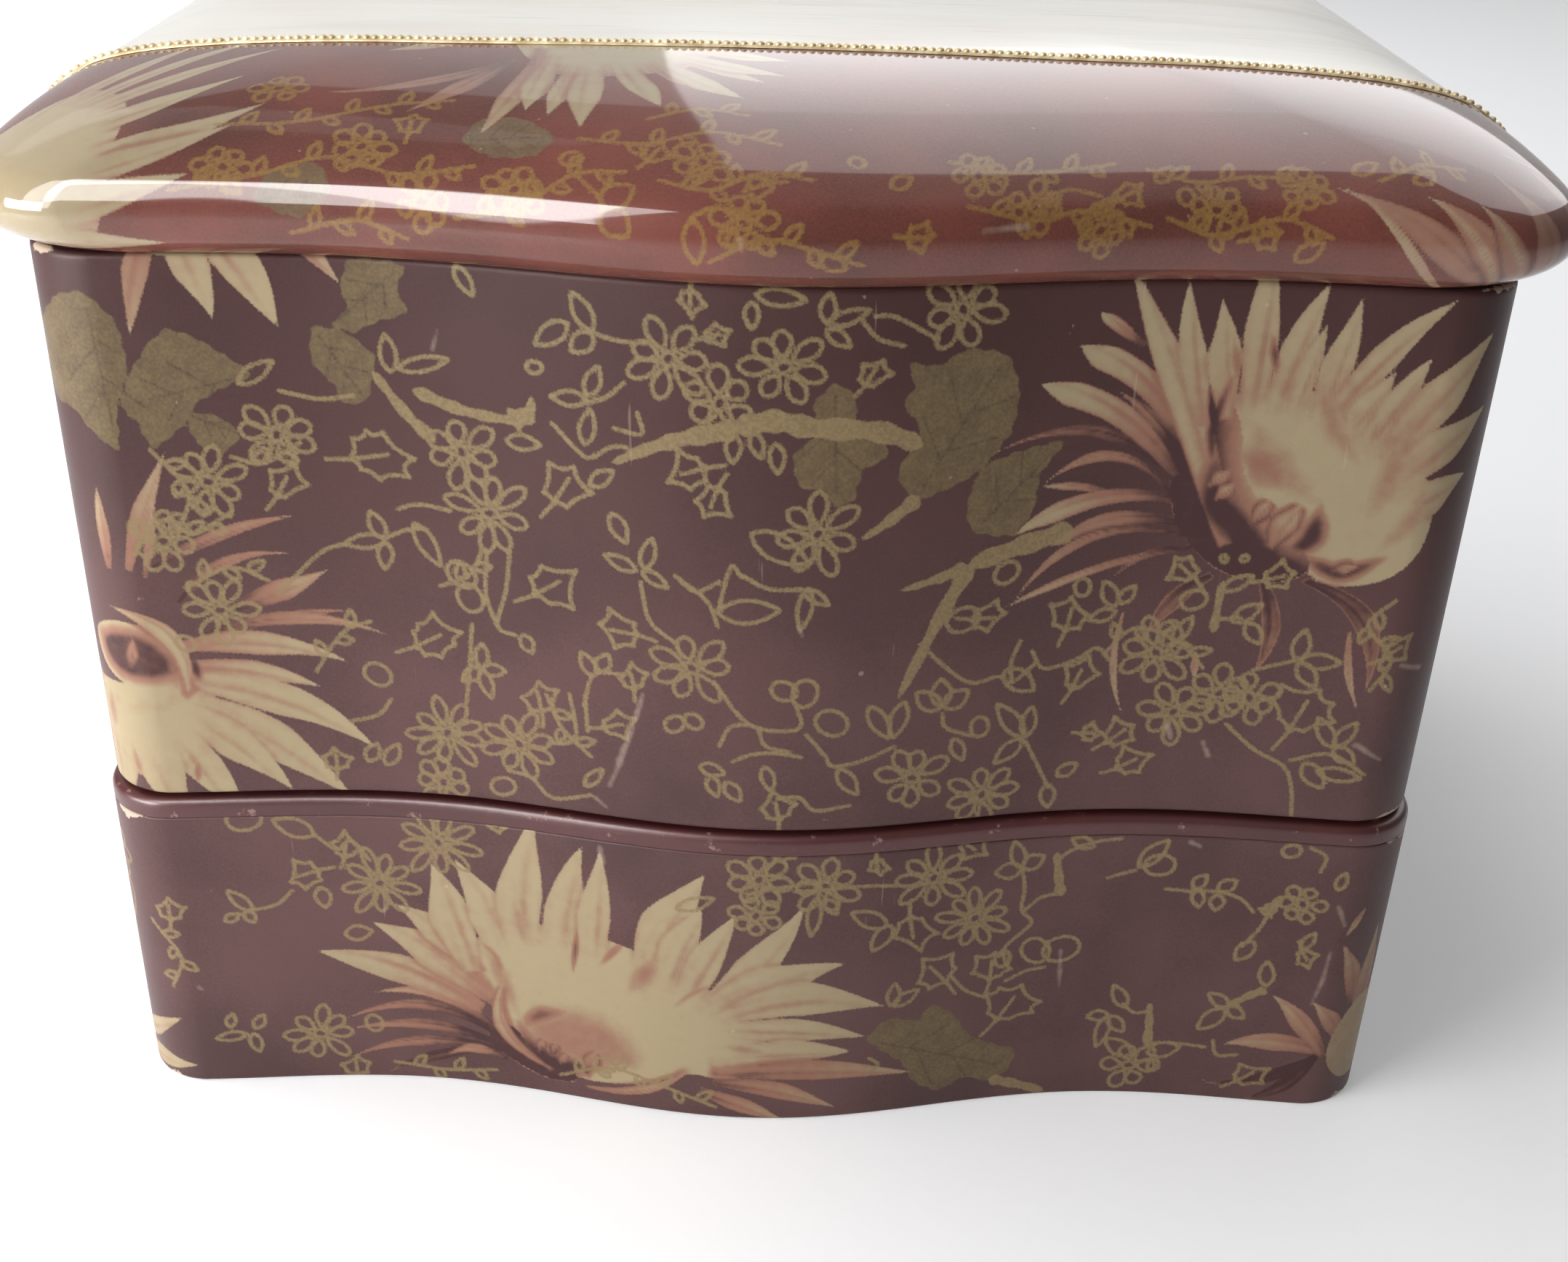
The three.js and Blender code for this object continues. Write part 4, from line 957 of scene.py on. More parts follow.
lower_gold = gold_strokes(
    daisies=[
        (-55.8, 36.9, 9, 5.8), (-46.7, 44.7, 9, 6), (-66.9, 8.6, 8, 5.2), (24.7, 43.3, 8, 5.5),
        (31.4, 35.3, 9, 5.4), (-0.3, 44.6, 7, 4.6), (9.2, 43.4, 7, 4.8), (-0.6, 38.3, 6, 3.6),
        (57.8, 5.6, 6, 4.4), (-98, 40, 7, 5), (104, 42, 7, 5), (79.4, 38, 6, 3.4),
    ],
    loops=[
        (-64.6, 45.4, -70.2, 48, 3), (-64.5, 36, -64, 32.4, 2.3), (-74.7, 32.2, -77.9, 35.8, 1.9),
        (-78.8, 30.4, -76.6, 31.6, 1.4), (-75.6, 32, -74.6, 30, 1.6), (-61.6, 27.4, -57.6, 28.2, 2.6),
        (37.6, 43.4, 33.8, 43, 2.7), (37.6, 43.6, 36.2, 48.4, 2.1), (37.8, 43.6, 40.8, 45.4, 2.5),
        (18.4, 35.6, 13.1, 38.5, 2.7), (19, 35.6, 16.4, 31.2, 2.5), (20, 20.6, 20.2, 24.8, 1.9),
        (20.2, 20.6, 23.8, 23.2, 1.9), (55, 43, 58.8, 47.8, 2.6), (64, 39.2, 64.6, 36.2, 1.8),
        (63.4, 39.6, 65, 42, 1.8), (67, 39.4, 69.4, 41.4, 2), (67.2, 38.6, 67, 35.8, 2),
        (73.4, 30.6, 71.2, 27, 2.5), (76.4, 22.6, 75.9, 27.2, 2.2), (71.4, 18.2, 68.2, 20.4, 2),
        (71.4, 18, 74, 16.2, 2), (71, 17.6, 67.4, 13.4, 2.7), (56, 17, 53.8, 21.2, 2.1),
        (53.5, 15.5, 50.2, 15.2, 1.9), (53.8, 15.2, 56.2, 12.2, 2.1), (53.4, 15, 52.4, 9.2, 2),
        (57.8, 7.6, 53.6, 10.8, 2.7), (60.4, 8.2, 65.2, 9.8, 2.8), (-12, 38.6, -6.6, 41, 2),
        (8, 41.4, 7.4, 34.6, 2), (9.4, 41, 11, 38.4, 1.8), (48, 46.6, 44.6, 48.2, 1.9),
        (80.6, 30, 82, 33, 1.6), (84, 41, 84.6, 44, 1.6), (-80.4, 10.4, -79.6, 13, 1.4),
        (-76.6, 10, -75, 12.6, 1.6), (-77, 9, -76.4, 5.4, 1.8), (-78, 9, -82.6, 8.2, 1.6),
    ],
    leaves=[
        (-66, 38.6, 6, 200), (-60.4, 42.6, 5, 80), (-86.7, 31.9, 5, 90), (22, 35, 7.4, 280),
        (26.6, 25.6, 7.6, 130), (34.6, 25.2, 6.4, 90, 7), (37.4, 17.6, 9, 60, 7), (29.4, 48.4, 5, 320),
        (16.4, 46.6, 3.4, 280), (75.6, 4.6, 6, 40), (-38.6, 48.8, 3, 0), (-62, 1.6, 5, 90),
        (103, 12, 7, 60), (2.6, 49, 4.4, 60), (81, 29, 4, 300),
    ],
    rings=[
        (41.1, 28.3, 2.2), (45, 28.3, 2.5), (76.4, 47.2, 1.2), (-74.2, 48.3, 2.2), (58, 43.4, 2),
        (36.2, 27.2, 1.3), (-58.6, 10.6, 1.4), (-23, 7.4, 1.5), (61.6, 5.8, 1),
    ],
    stems=[
        [(-64.4, 45.2), (-61.6, 42.8), (-59.4, 44.4), (-57, 41)],
        [(-74.7, 32.2), (-71, 33.2), (-68.6, 35.6)],
        [(37.8, 43.3), (38.4, 40), (38.4, 35.8), (41, 38), (44, 38.5)],
        [(5, 42.6), (14, 43), (19.4, 42.6)], [(42.8, 44.4), (44.6, 46), (48, 47.4), (52, 48)],
        [(50.6, 41), (52, 41.6), (54.6, 42.4)],
        [(59.4, 39.2), (63, 39), (67, 39.2), (70.4, 38.2), (72.6, 36)],
        [(75, 37), (74, 33.4), (71.8, 29.6)], [(55.6, 17.6), (57.4, 16), (60, 16.4)],
        [(60.2, 10), (63.4, 10.4), (69, 10)], [(70, 11.4), (71, 8.6), (74, 9)],
        [(38.6, 35.4), (40, 33.4), (37, 30.2), (35.6, 28)], [(37, 23), (40, 24.6), (42.8, 25)],
        [(28.6, 25), (31, 22), (34.6, 20)], [(-2, 42), (3, 43.4), (8, 44)],
        [(-102, 48), (-98, 40), (-94, 32), (-98, 24)], [(106, 48), (104, 42), (100, 34), (104, 20)],
        [(17, 11), (18.4, 9.6), (17, 8)], [(79, 48), (81.4, 46.6), (81, 44)],
    ],
    sprays=[
        [(-56, 3), (-48, 2), (-40, 3)], [(-30, 4), (-22, 7), (-14, 5), (-6, 2)],
        [(-90, 30), (-86, 24), (-88, 18)],
    ],
)
lower_scuffs = [
    [(84.6, 38), (86, 34.6)], [(84.8, 29.6), (84.4, 24), (83.6, 19.8)], [(-84, 18.2), (-83.6, 17.8)],
    [(-23, 47.6), (-22.6, 45)], [(62, 47.6), (63.4, 47)], [(45, 28), (45.4, 21)],
]
print("Lower painted shapes:", len(lower_blossoms), "gold strokes:", len(lower_gold))

# %% The lid's design
lid_blossoms = [
    *petals([(-34, 33, -56, 20.4, 0.1, 2), (-35, 31, -45.4, 17, 0.05, 2.6)], (0.7, 0.3), shade=0.7),
    *petals([(-31, 38, -36, 13.4, 0.06, 3), (-38, 46, -52, 34, 0.08, 4)], (0.7, 0.1), shade=0.6,
            widest=0.7),
    *petals([(-29, 36, -31, 19, 0, 3.4), (-26, 36, -28.2, 18.2, 0.02, 2.8), (-24, 38, -24, 16.2, 0, 4),
             (-21, 38, -14.6, 22.2, -0.05, 4.2), (-18, 38, -9.5, 27.5, -0.04, 3),
             (-18, 39, -4.6, 25.4, -0.05, 3.6), (-18, 41, -2, 30.4, 0, 2.6),
             (-18, 42, 0.4, 33, -0.03, 3.4), (-18, 44, 1, 39, 0, 3.4)], (0.35, 0), shade=0.6,
            widest=0.68),
    patch([(-36, 48), (-34, 38), (-31, 32), (-27, 29), (-21, 30), (-14, 33), (-10, 38), (-9, 48),
           (-22, 52)], 0.05, soft=5),
    shadow([(-36, 40), (-35, 32), (-34, 26)], 3.5, 0.5),
    *petals([(-98, 2, -63, 17.4, -0.06, 5), (-98, 0, -66, 13.2, -0.05, 4), (-98, -2, -70, 5, -0.03, 5),
             (-97, 6, -72, 24, -0.05, 5), (-96, 8, -80, 32, 0, 5), (-98, 8, -92, 34, 0, 5),
             (-100, 8, -104, 30, 0, 5), (-100, -3, -73, -4, 0, 4)], (0.35, 0), shade=0.5, broad=0.9,
            widest=0.6),
    patch([(-104, 14), (-92, 17), (-82, 13), (-79, 4), (-84, -5), (-102, -6)], 0.04, soft=4),
    *petals([(89, -9, 66.8, 7.6, -0.06, 3.8), (90, -9, 77.4, 6.8, -0.08, 4.2),
             (91, -9, 83.6, 6, -0.06, 3.6), (94, -8, 91, 10, 0, 4), (97, -8, 101, 9, 0, 4)], (0.7, 0.3),
            shade=0.9),
    *petals([(82, -9, 68, 7.6, -0.03, 1.3), (89, -9, 77.6, 7, -0.05, 1.1), (92, -8, 83.8, 6, -0.04, 1)],
            (0.3, 0.05)),
]
lid_solid = [
    [(-38, 12), (-36, 16.4), (-31, 17), (-27, 14), (-29, 10.4), (-34, 9.6)],
    [(-62, 2), (-60, 6), (-55, 7), (-53, 3), (-57, 0)],
    [(106, 10), (109, 15), (113, 12), (111, 7)],
]
lid_gold = gold_strokes(
    daisies=[
        (-9, 11.4, 6, 3.6), (-4, 3, 6, 3.6), (-31, 5, 7, 3.6), (-50, 10, 7, 3.8), (30, 5, 6, 3.4),
        (52, 4, 6, 3.4), (23.4, 9.6, 6, 3.4), (-62, 21, 6, 3.4), (63, 7.4, 6, 3.2), (-42, 2.6, 6, 3.4),
        (-66, 6, 6, 3.4), (38, 1.6, 6, 3),
    ],
    loops=[
        (-20.6, 4, -17, 6.8, 3.2), (-20.4, 3.4, -17.4, 0.6, 3.4), (13, 8, 15.4, 9.6, 2),
        (-10, 3, -9.4, -2.4, 2.4), (45, 8, 47, 10.4, 1.8), (69, 10, 72, 12, 1.8),
        (76, 9, 79.6, 11, 1.8), (5, -1, 8, -2.4, 2.2), (62, -2, 65, 0.4, 2.2),
    ],
    leaves=[
        (-15, 12, 4.4, 60), (-2, 8, 4.4, 200), (41, 6, 4.4, 30), (-44.6, 14, 4.6, 90),
        (57.6, 1, 4.4, 20), (16, 1.4, 4, 0),
    ],
    rings=[(48.4, 5.8, 1.1), (-24.6, 10.4, 1.2), (9, 12, 0.9)],
    stems=[
        [(-24, 8), (-21, 5), (-20.4, 3.4)], [(-10, 3.4), (-7, 4.6), (-3, 3)],
        [(30, 5), (34, 7), (38, 6)], [(100, 12), (108, 6), (116, 10)],
    ],
    sprays=[
        [(-72, 3), (-62, 5), (-54, 8), (-45, 6), (-36, 8)],
        [(-68, 13), (-58, 14), (-48, 18), (-40, 20)], [(-38, 1), (-30, 3), (-24, 8), (-18, 9)],
        [(-24, 14), (-16, 14), (-8, 17), (0, 15)], [(-14, 8), (-8, 7), (-2, 10), (4, 9)],
        [(-8, -2), (-2, 1), (4, 0), (10, -2)], [(20, 12), (26, 10), (33, 10), (40, 11)],
        [(22, 5), (30, 3), (36, 4), (44, 2)], [(44, 10), (50, 8), (58, 9), (66, 7)],
        [(46, 3), (52, 1), (60, 3), (66, 1)], [(-16, 19), (-10, 22), (-4, 21)],
        [(-58, -2), (-50, 0), (-44, -2)], [(72, 9), (78, 12), (86, 11)],
    ],
)
lid_scuffs = [[(-4.4, 1), (-4.2, -0.4)], [(24, 2), (29, 2.4)]]
designs = {
    "upper": (upper_blossoms, upper_solid, upper_branches, upper_gold, upper_scuffs),
    "lower": (lower_blossoms, lower_solid, lower_branches, lower_gold, lower_scuffs),
    "lid": (lid_blossoms, lid_solid, [], lid_gold, lid_scuffs),
}
for title, (blossoms, _, _, gold, _) in designs.items():
    print(title, "painted shapes:", len(blossoms), "gold strokes:", len(gold))

# %% Work out the inks at every point of a sheet
FAR = 9.0  # millimetres: no ink near
VEIN = 0.26  # half the width of a vein
SCUFF = 0.4  # half the width of a scuff


def inks(design, run, height, length_round):
    """How deep points, in millimetres, lie in each ink, vein and scuff, and the petals' tone."""
    blossoms, solid_leaves, branches, strokes, scuffs = designs[design]
    period = length_round / 3
    points = np.column_stack([(run + period / 2) % period - period / 2, height])
    gold = PEN - nearest(strokes, points)
    for outline in branches:
        near, depth = depth_in(outline, points)
        gold[near] = np.maximum(gold[near], depth)
    olive = np.full(len(points), -FAR)
    veins = []
    for outline in solid_leaves:
        near, depth = depth_in(leaf_edge(outline), points)
        olive[near] = np.maximum(olive[near], depth)
        veins.extend(leaf_veins(outline))
    vein = VEIN - nearest(veins, points)
    cover = np.full(len(points), -FAR)
    tone = np.zeros(len(points))
    for lay_on in blossoms:
        lay_on(points, cover, tone)
    scuff = SCUFF - nearest([winding(route) for route in scuffs], points)
    return {
        "gold": gold, "olive": olive, "vein": vein, "scuff": scuff,
        "petal": cover, "tone": np.clip(tone, 0, 1),
    }


# %% [markdown]
# ### The printed finishes
# The paper is satin, with a plum ground that clouds a little, faint grain, rubbed edges, a few scuffs and
# pale chips where the corners have been knocked. Towards the top of the upper tray the ground is painted
# darker and redder, as shade under the lid's overhang. The lid has the same print on a redder ground
# under a thick glossy skin, so it shares the inks and takes a clear coat.

# %% Printed paper and the lid's glossy print
PLUM = paint(98, 71, 69)
PLUM_DARK = paint(79, 56, 55)
PAINTED_SHADE_PLUM = paint(58, 31, 28)  # painted shade: darker, redder plum where the lid's overhang shades the top of the upper tray
LID_GROUND = paint(120, 63, 51)
LID_DARK = paint(82, 45, 37)
GOLD_INK = paint(138, 119, 85)
LID_GOLD = paint(142, 108, 54)
OLIVE_INK = paint(114, 97, 68)
OLIVE_DARK = paint(74, 59, 46)
CREAM = paint(164, 148, 117)
SALMON = paint(144, 104, 86)
EYE_BROWN = paint(68, 43, 43)
BARE_PAPER = paint(196, 176, 158)
BLEED = 0.18  # millimetres over which an ink's edge fades


def printed_finish(name, ground, ground_dark, under_lid_shade, gold_ink, roughness, wear, gilding, **constants):
    finish = Finish(name, **constants)
    grain = finish.noise(0.35 * MM, 3)
    cloud = finish.noise(22 * MM, 3)
    ragged = (grain - 0.5) * 0.5
    colour = finish.mix(finish.ease(cloud * 0.7 + grain * 0.3, 0.3, 0.7), ground_dark, ground)
    upwards = finish.node("SeparateXYZ", None, {0: finish.place()}, "Z")
    # Painted shade: the ground turns darker and redder towards the top of the upper tray, as under the
    # lid's overhang.
    painted_shade = finish.ease(upwards + (cloud - 0.5) * 30 * MM, 60 * MM, 128 * MM)
    colour = finish.mix(painted_shade * under_lid_shade, colour, PAINTED_SHADE_PLUM)
    leaf = finish.ease(finish.kept("olive") + ragged, -BLEED, BLEED)
    vein = finish.ease(finish.kept("vein") + ragged, -0.1, 0.4)
    stipple = finish.ease(finish.noise(0.5 * MM, 2), 0.35, 0.65)
    mottle = finish.ease(finish.noise(2.2 * MM, 3), 0.3, 0.7)
    olive = finish.mix(vein * 0.7 + stipple * 0.2 + mottle * 0.3, OLIVE_INK, OLIVE_DARK)
    colour = finish.mix(leaf * (gilding - 0.12 * stipple), colour, olive)
    tone = finish.kept("tone") + (finish.noise(1.6 * MM, 3) - 0.5) * 0.2 + (mottle - 0.5) * 0.06
    light = finish.mix(finish.ease(tone, 0.0, 0.5), CREAM, SALMON)
    flesh = finish.mix(finish.ease(tone, 0.45, 1.0), light, EYE_BROWN)
    colour = finish.mix(finish.ease(finish.kept("petal") + ragged, -BLEED, BLEED), colour, flesh)
    gold = finish.ease(finish.kept("gold") + ragged, -BLEED, BLEED)
    colour = finish.mix(gold * (gilding - 0.25 * stipple), colour, gold_ink)
    rub = finish.kept("rub")
    knocks = finish.noise(5 * MM, 4, roughness=0.65)
    chip = finish.ease(rub * wear + knocks - 1.0, 0.02, 0.08)
    colour = finish.mix(chip * 0.9, colour, BARE_PAPER)
    scratch = finish.ease(finish.noise(5 * MM, 2, stretch=(4.0, 4.0, 0.3)), 0.74, 0.8)
    speck = finish.ease(finish.noise(2.4 * MM, 2), 0.76, 0.8)
    colour = finish.mix(scratch * 0.2 + speck * 0.3, colour, BARE_PAPER)
    scuff = finish.ease(finish.kept("scuff") + (knocks - 0.5) * 1.6, -0.2, 0.5)
    colour = finish.mix(scuff * 0.32, colour, BARE_PAPER)
    swell = finish.noise(9 * MM, 2)
    skin = finish.bump(swell, 0.12 * MM)
    fine = finish.bump(grain, 0.02 * MM, Normal=skin)
    rough = roughness + (cloud - 0.5) * 0.2 + chip * 0.3
    return finish.coat(Base_Color=colour, Roughness=rough, Normal=fine)


paper_finish = printed_finish(
    "satin_print", PLUM, PLUM_DARK, 0.65, GOLD_INK, 0.42, 1.0, 0.97, Specular_IOR_Level=0.2
)
lid_finish = printed_finish(
    "glossy_print", LID_GROUND, LID_DARK, 0.0, LID_GOLD, 0.5, 0.75, 0.85,
    Specular_IOR_Level=0.1, Coat_Weight=1.0, Coat_Roughness=0.06, Coat_IOR=1.5,
)
print("Print finishes:", paper_finish.name, lid_finish.name)

# %% [markdown]
# ## The two trays' covers
# Each cover is one closed sheet of paper: up the outside, turned in over the board's edge, and back
# down the inside. The front needs a point every third of a millimetre for the drawn lines, and the
# sides and back one every half. So a cover is cut into two front sheets, two sides and a back, which
# meet in the middle of the front and on the flat of the sides, near the corners.

# %% Wrap the trays
FRONT_SPACING = 0.36 * MM
REST_SPACING = 0.54 * MM
SHEET_MEET = 6 * MM  # from a corner, along the side
PAPER_DEPTH = 0.75 * MM
TURN_IN = 5.9 * MM
TURN_UNDER = 8 * MM
EDGE_BEND = 0.9 * MM
OVER_EDGE = 0.2 * MM  # how far turned paper stands off the board that it covers
PAPER_TURN = 0.17 * MM  # thickness of the turned part
SHORT_TURN = 0.8 * MM  # the lower tray's paper only rounds its edges
RIM_SHOWS = 3 * MM  # of the lower tray's rim, above the paper


def cover_section(top, foot, turned_top, turned_foot, spacing):
    """The paper's section, closed, from the inner end of its top edge."""
    flap = 2 * MM
    return section([
        (turned_top, top, 0, flap),
        (0, top, EDGE_BEND, spacing),
        (0, foot, EDGE_BEND, flap),
        (turned_foot, foot, 0, flap),
        (turned_foot, foot + PAPER_TURN, 0, flap),
        (PAPER_DEPTH, foot + PAPER_TURN, 0, top - foot),
        (PAPER_DEPTH, top - PAPER_TURN, 0, flap),
        (turned_top, top - PAPER_TURN, 0, flap),
        (turned_top, top, 0, flap),
    ])


def sheet_heights(line, middle):
    """Height on the flat sheet of each row, counted along the paper from a row on the wall."""
    along = np.concatenate([[0], np.cumsum(np.hypot(*np.diff(line, axis=0).T))])
    wall = np.argmin(np.abs(line[:, 1] - middle) + 10 * line[:, 0])
    return line[wall, 1] + along[wall] - along


def edge_rub(run, height, top, foot, corner_middles):
    """How rubbed a point is: most at the top and bottom edges, and more of it near the corners."""
    edge = np.minimum(np.abs(top - height), np.abs(height - foot))
    corner = np.min([np.abs(np.abs(run) - middle) for middle in corner_middles], axis=0)
    near_corner = np.exp(-(corner / (7 * MM)) ** 2)
    return (0.34 + 0.3 * near_corner) * np.exp(-edge / (0.7 * MM + 2.5 * MM * near_corner))


def print_cover(name, plan, first, last, line, spacing, tray, middle, top, foot):
    runs = runs_between(first, last, spacing)
    sheet, column, row = wrap(name, plan, runs, line)
    run = runs[column]
    height = sheet_heights(line, middle)[row]
    note(sheet, **inks(tray, run / MM, height / MM, 2 * plan.half_length / MM))
    corner = math.pi / 4 * plan.corner
    middles = (plan.corner_start - corner, plan.rear_end - corner)
    note(sheet, rub=edge_rub(run, height, top, foot, middles))
    return close_up(sheet)


def cuts(plan):
    """Name, first and last run and point spacing of each sheet in a cover."""
    meet = plan.corner_start + SHEET_MEET
    rear_meet = plan.rear_end - math.pi / 2 * plan.corner - SHEET_MEET
    length = 2 * plan.half_length
    return (
        ("left_front", -meet, 0, FRONT_SPACING),
        ("right_front", 0, meet, FRONT_SPACING),
        ("right_side", meet, rear_meet, REST_SPACING),
        ("back", rear_meet, length - rear_meet, REST_SPACING),
        ("left_side", length - rear_meet, length - meet, REST_SPACING),
    )


def cover_tray(tray, plan, top, foot, turned_top, turned_foot):
    middle = (top + foot) / 2
    for part, first, last, spacing in cuts(plan):
        line = cover_section(top, foot, turned_top, turned_foot, spacing)
        name = f"{tray}_{part}_paper"
        wrapped = [name, plan, first, last, line, spacing, tray, middle, top, foot]
        settle(print_cover(*wrapped), f"{tray}_tray", "printed_paper", paper_finish, f"{tray}_print_cover")


upper_low, upper_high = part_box("upper_print_cover")
cover_tray("upper", upper_plan, upper_high.z + OVER_EDGE, upper_low.z - OVER_EDGE, TURN_IN, TURN_UNDER)
rim_low, rim_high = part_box("lower_rim")
rim_foot = rim_high.z - RIM_SHOWS
cover_tray("lower", lower_plan, rim_foot, OVER_EDGE / 4, SHORT_TURN, SHORT_TURN)

# %% [markdown]
# ## The red rim
# The lower tray's edge is a rounded strip of dark red, worn glossy where the upper tray comes down on
# it. It is the same wrap with another section: up the outside, over a round shoulder and down inside.

# %% Wrap the rim
RIM_ROUND = 2.2 * MM
LAP_ROOM = 0.8 * MM  # left in the rim's foot for the paper that laps over it
RIM_SPACING = 1.2 * MM


def full_round(plan, spacing):
    return runs_between(-plan.half_length, plan.half_length, spacing)


rim_width = lower_plan.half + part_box("lower_left_wall")[1].x
rim_line = section([
    (rim_width, rim_low.z, 0, RIM_SPACING),
    (LAP_ROOM, rim_low.z, 0, RIM_SPACING),
    (LAP_ROOM, rim_foot, 0, 0.4 * MM),
    (0, rim_foot, 0.3 * MM, 0.4 * MM),
    (0, rim_high.z, RIM_ROUND, RIM_SPACING),
    (rim_width, rim_high.z, 0.5 * MM, RIM_SPACING),
    (rim_width, rim_low.z, 0, RIM_SPACING),
])
rim = wrap("lower_red_rim", lower_plan, full_round(lower_plan, RIM_SPACING), rim_line)[0]
close_up(rim)

rim_finish = Finish("red_rim_gloss", Coat_Weight=0.2, Coat_Roughness=0.2)
rim_wear = rim_finish.noise(3 * MM, 4, roughness=0.65)
rim_cloud = rim_finish.noise(14 * MM, 3)
rim_colour = rim_finish.mix(rim_cloud, paint(60, 23, 23), paint(88, 37, 36))
rim_scuff = rim_finish.ease(rim_wear, 0.62, 0.7)
rim_colour = rim_finish.mix(rim_scuff * 0.7, rim_colour, paint(150, 120, 108))
rim_finish.coat(
    Base_Color=rim_colour,
    Roughness=0.4 + rim_scuff * 0.3,
    Normal=rim_finish.bump(rim_wear, 0.08 * MM),
)
settle(rim, "lower_tray", "red_rim", rim_finish.material, "lower_rim")

# %% [markdown]
# ## The lid's printed cover
# The lid's edge is a round lip that runs into a crown, steep at first and level by the middle. The cover
# follows that line from under the lip up to the ivory panel, so each column of the sheet stops where it
# meets the panel. The lid is cut flat at the back, which a soft limit on depth gives.

# %% The lid's section
LIP = 6 * MM
CROWN_RISE = 11 * MM
CROWN_RUN = 14.8 * MM
SIDE_SHARE = 0.72  # of the crown's run, taken at the lid's sides
LID_PAPER = 0.6 * MM
CROWN_REACH = 60 * MM  # further than the cover goes
HALVINGS = 36
BACK_SOFTNESS = 0.5 * MM
lid_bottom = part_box("lid_core")[0].z
lip_turn = math.atan(CROWN_RUN / CROWN_RISE)
lip_centre = lid_bottom + LIP
crown_start = LIP * (1 - math.cos(lip_turn))
crown_foot = lip_centre + LIP * math.sin(lip_turn)
lip_foot = -LIP * (math.pi / 2 + lip_turn)


def lid_line(along, sunk=0.0):
    """Insets at the front and the sides, and height: along is 0 where the lip meets the crown."""
    angle = lip_turn + along / LIP
    fall = np.exp(-np.maximum(along, 0) / CROWN_RUN)
    on_lip = along < 0
    inset = np.where(on_lip, LIP * (1 - np.cos(angle)), crown_start + along)
    height = np.where(on_lip, lip_centre + LIP * np.sin(angle), crown_foot + CROWN_RISE * (1 - fall))
    slope = np.where(on_lip, 1 / np.tan(np.maximum(angle, 0.001)), CROWN_RISE / CROWN_RUN * fall)
    steeper = slope / SIDE_SHARE
    drop = sunk / np.hypot(1, slope)
    side = SIDE_SHARE * inset + (sunk * np.hypot(1, steeper) - drop) / steeper
    under = angle <= 0
    round_inset = LIP - (LIP - sunk) * np.cos(angle)
    return (
        np.where(under, round_inset, inset + slope * drop),
        np.where(under, round_inset, side),
        np.where(under, lip_centre + (LIP - sunk) * np.sin(angle), height - drop),
    )


def slope_length(along):
    """Distance over the surface from the widest line of the lip."""
    steps = np.linspace(0, 0.08, 400)
    slope = CROWN_RISE / CROWN_RUN * np.exp(-steps / CROWN_RUN)
    run = np.concatenate([[0], np.cumsum(np.hypot(1, slope)[1:] * np.diff(steps))])
    return LIP * lip_turn + np.where(along < 0, along, np.interp(along, steps, run))


def halfway(low, high, is_low):
    """Closes in on the value where a test turns from true to false."""
    for _ in range(HALVINGS):
        middle = (low + high) / 2
        test = is_low(middle)
        low = np.where(test, middle, low)
        high = np.where(test, high, middle)
    return (low + high) / 2


def crown_end(run):
    """How far up the crown the cover goes before it meets the panel."""
    return halfway(
        np.zeros_like(run),
        np.full_like(run, CROWN_REACH),
        lambda along: panel_plan.depth(*lid_plan.at(run, *lid_line(along)[:2])) < -GAP / 2,
    )


def behind_limit(y, limit):
    """y, held softly at a limit, as paper bends over a cut edge."""
    return limit - BACK_SOFTNESS * np.logaddexp(0, (limit - y) / BACK_SOFTNESS)


print("Lip widest at", round(lip_centre / MM, 1), "mm, crown starts at", round(crown_foot / MM, 1), "mm")

# %% Wrap the lid
FLAP_IN = 11.3 * MM
LIP_ROWS = 40
CROWN_ROWS = 90
FLAP_ROWS = 5
INNER_ROWS = 8


def lid_cover(name, first, last, spacing):
    runs = runs_between(first, last, spacing)
    ends = crown_end(runs)
    rows = FLAP_ROWS + LIP_ROWS + CROWN_ROWS + INNER_ROWS + 1
    sheet, column, row = flat_sheet(name, len(runs) - 1, rows)
    run = runs[column]
    end = ends[column]
    flap = row / FLAP_ROWS
    lip_share = (row - FLAP_ROWS) / LIP_ROWS
    crown_share = (row - FLAP_ROWS - LIP_ROWS) / CROWN_ROWS
    inner_share = (row - FLAP_ROWS - LIP_ROWS - CROWN_ROWS - 1) / (INNER_ROWS - 1)
    along = np.where(lip_share < 1, lip_foot * (1 - lip_share), end * crown_share)
    along = np.where(crown_share > 1, end + (lip_foot - end) * np.clip(inner_share, 0, 1), along)
    along = np.maximum(along, lip_foot)
    sunk = np.where(crown_share > 1, LID_PAPER, 0.0)
    inset, side, height = lid_line(along, sunk)
    on_flap = row < FLAP_ROWS
    inset = np.where(on_flap, FLAP_IN + (LIP - FLAP_IN) * flap, inset)
    side = np.where(on_flap, inset, side)
    height = np.where(on_flap, lid_bottom - OVER_EDGE / 2 * np.clip(3 - 3 * flap, 0, 1), height)
    closing = row == rows
    inset = np.where(closing, FLAP_IN, inset)
    side = np.where(closing, FLAP_IN, side)
    height = np.where(closing, lid_bottom - OVER_EDGE / 10, height)
    x, y = lid_plan.at(run, inset, side)
    y = behind_limit(y, body_back - sunk)
    lay(sheet, x, y, height)
    distance = np.where(on_flap, slope_length(lip_foot) - LIP * (1 - flap), slope_length(along))
    note(sheet, **inks("lid", run / MM, distance / MM, 2 * lid_plan.half_length / MM))
    lip_corner = np.abs(np.abs(run) - lid_plan.corner_start + math.pi / 4 * LID_CORNER)
    rub = 0.33 * np.exp(-(distance / (2.2 * MM)) ** 2) + 0.12 * np.exp(-(lip_corner / (9 * MM)) ** 2)
    note(sheet, rub=rub)
    return close_up(sheet, 50)


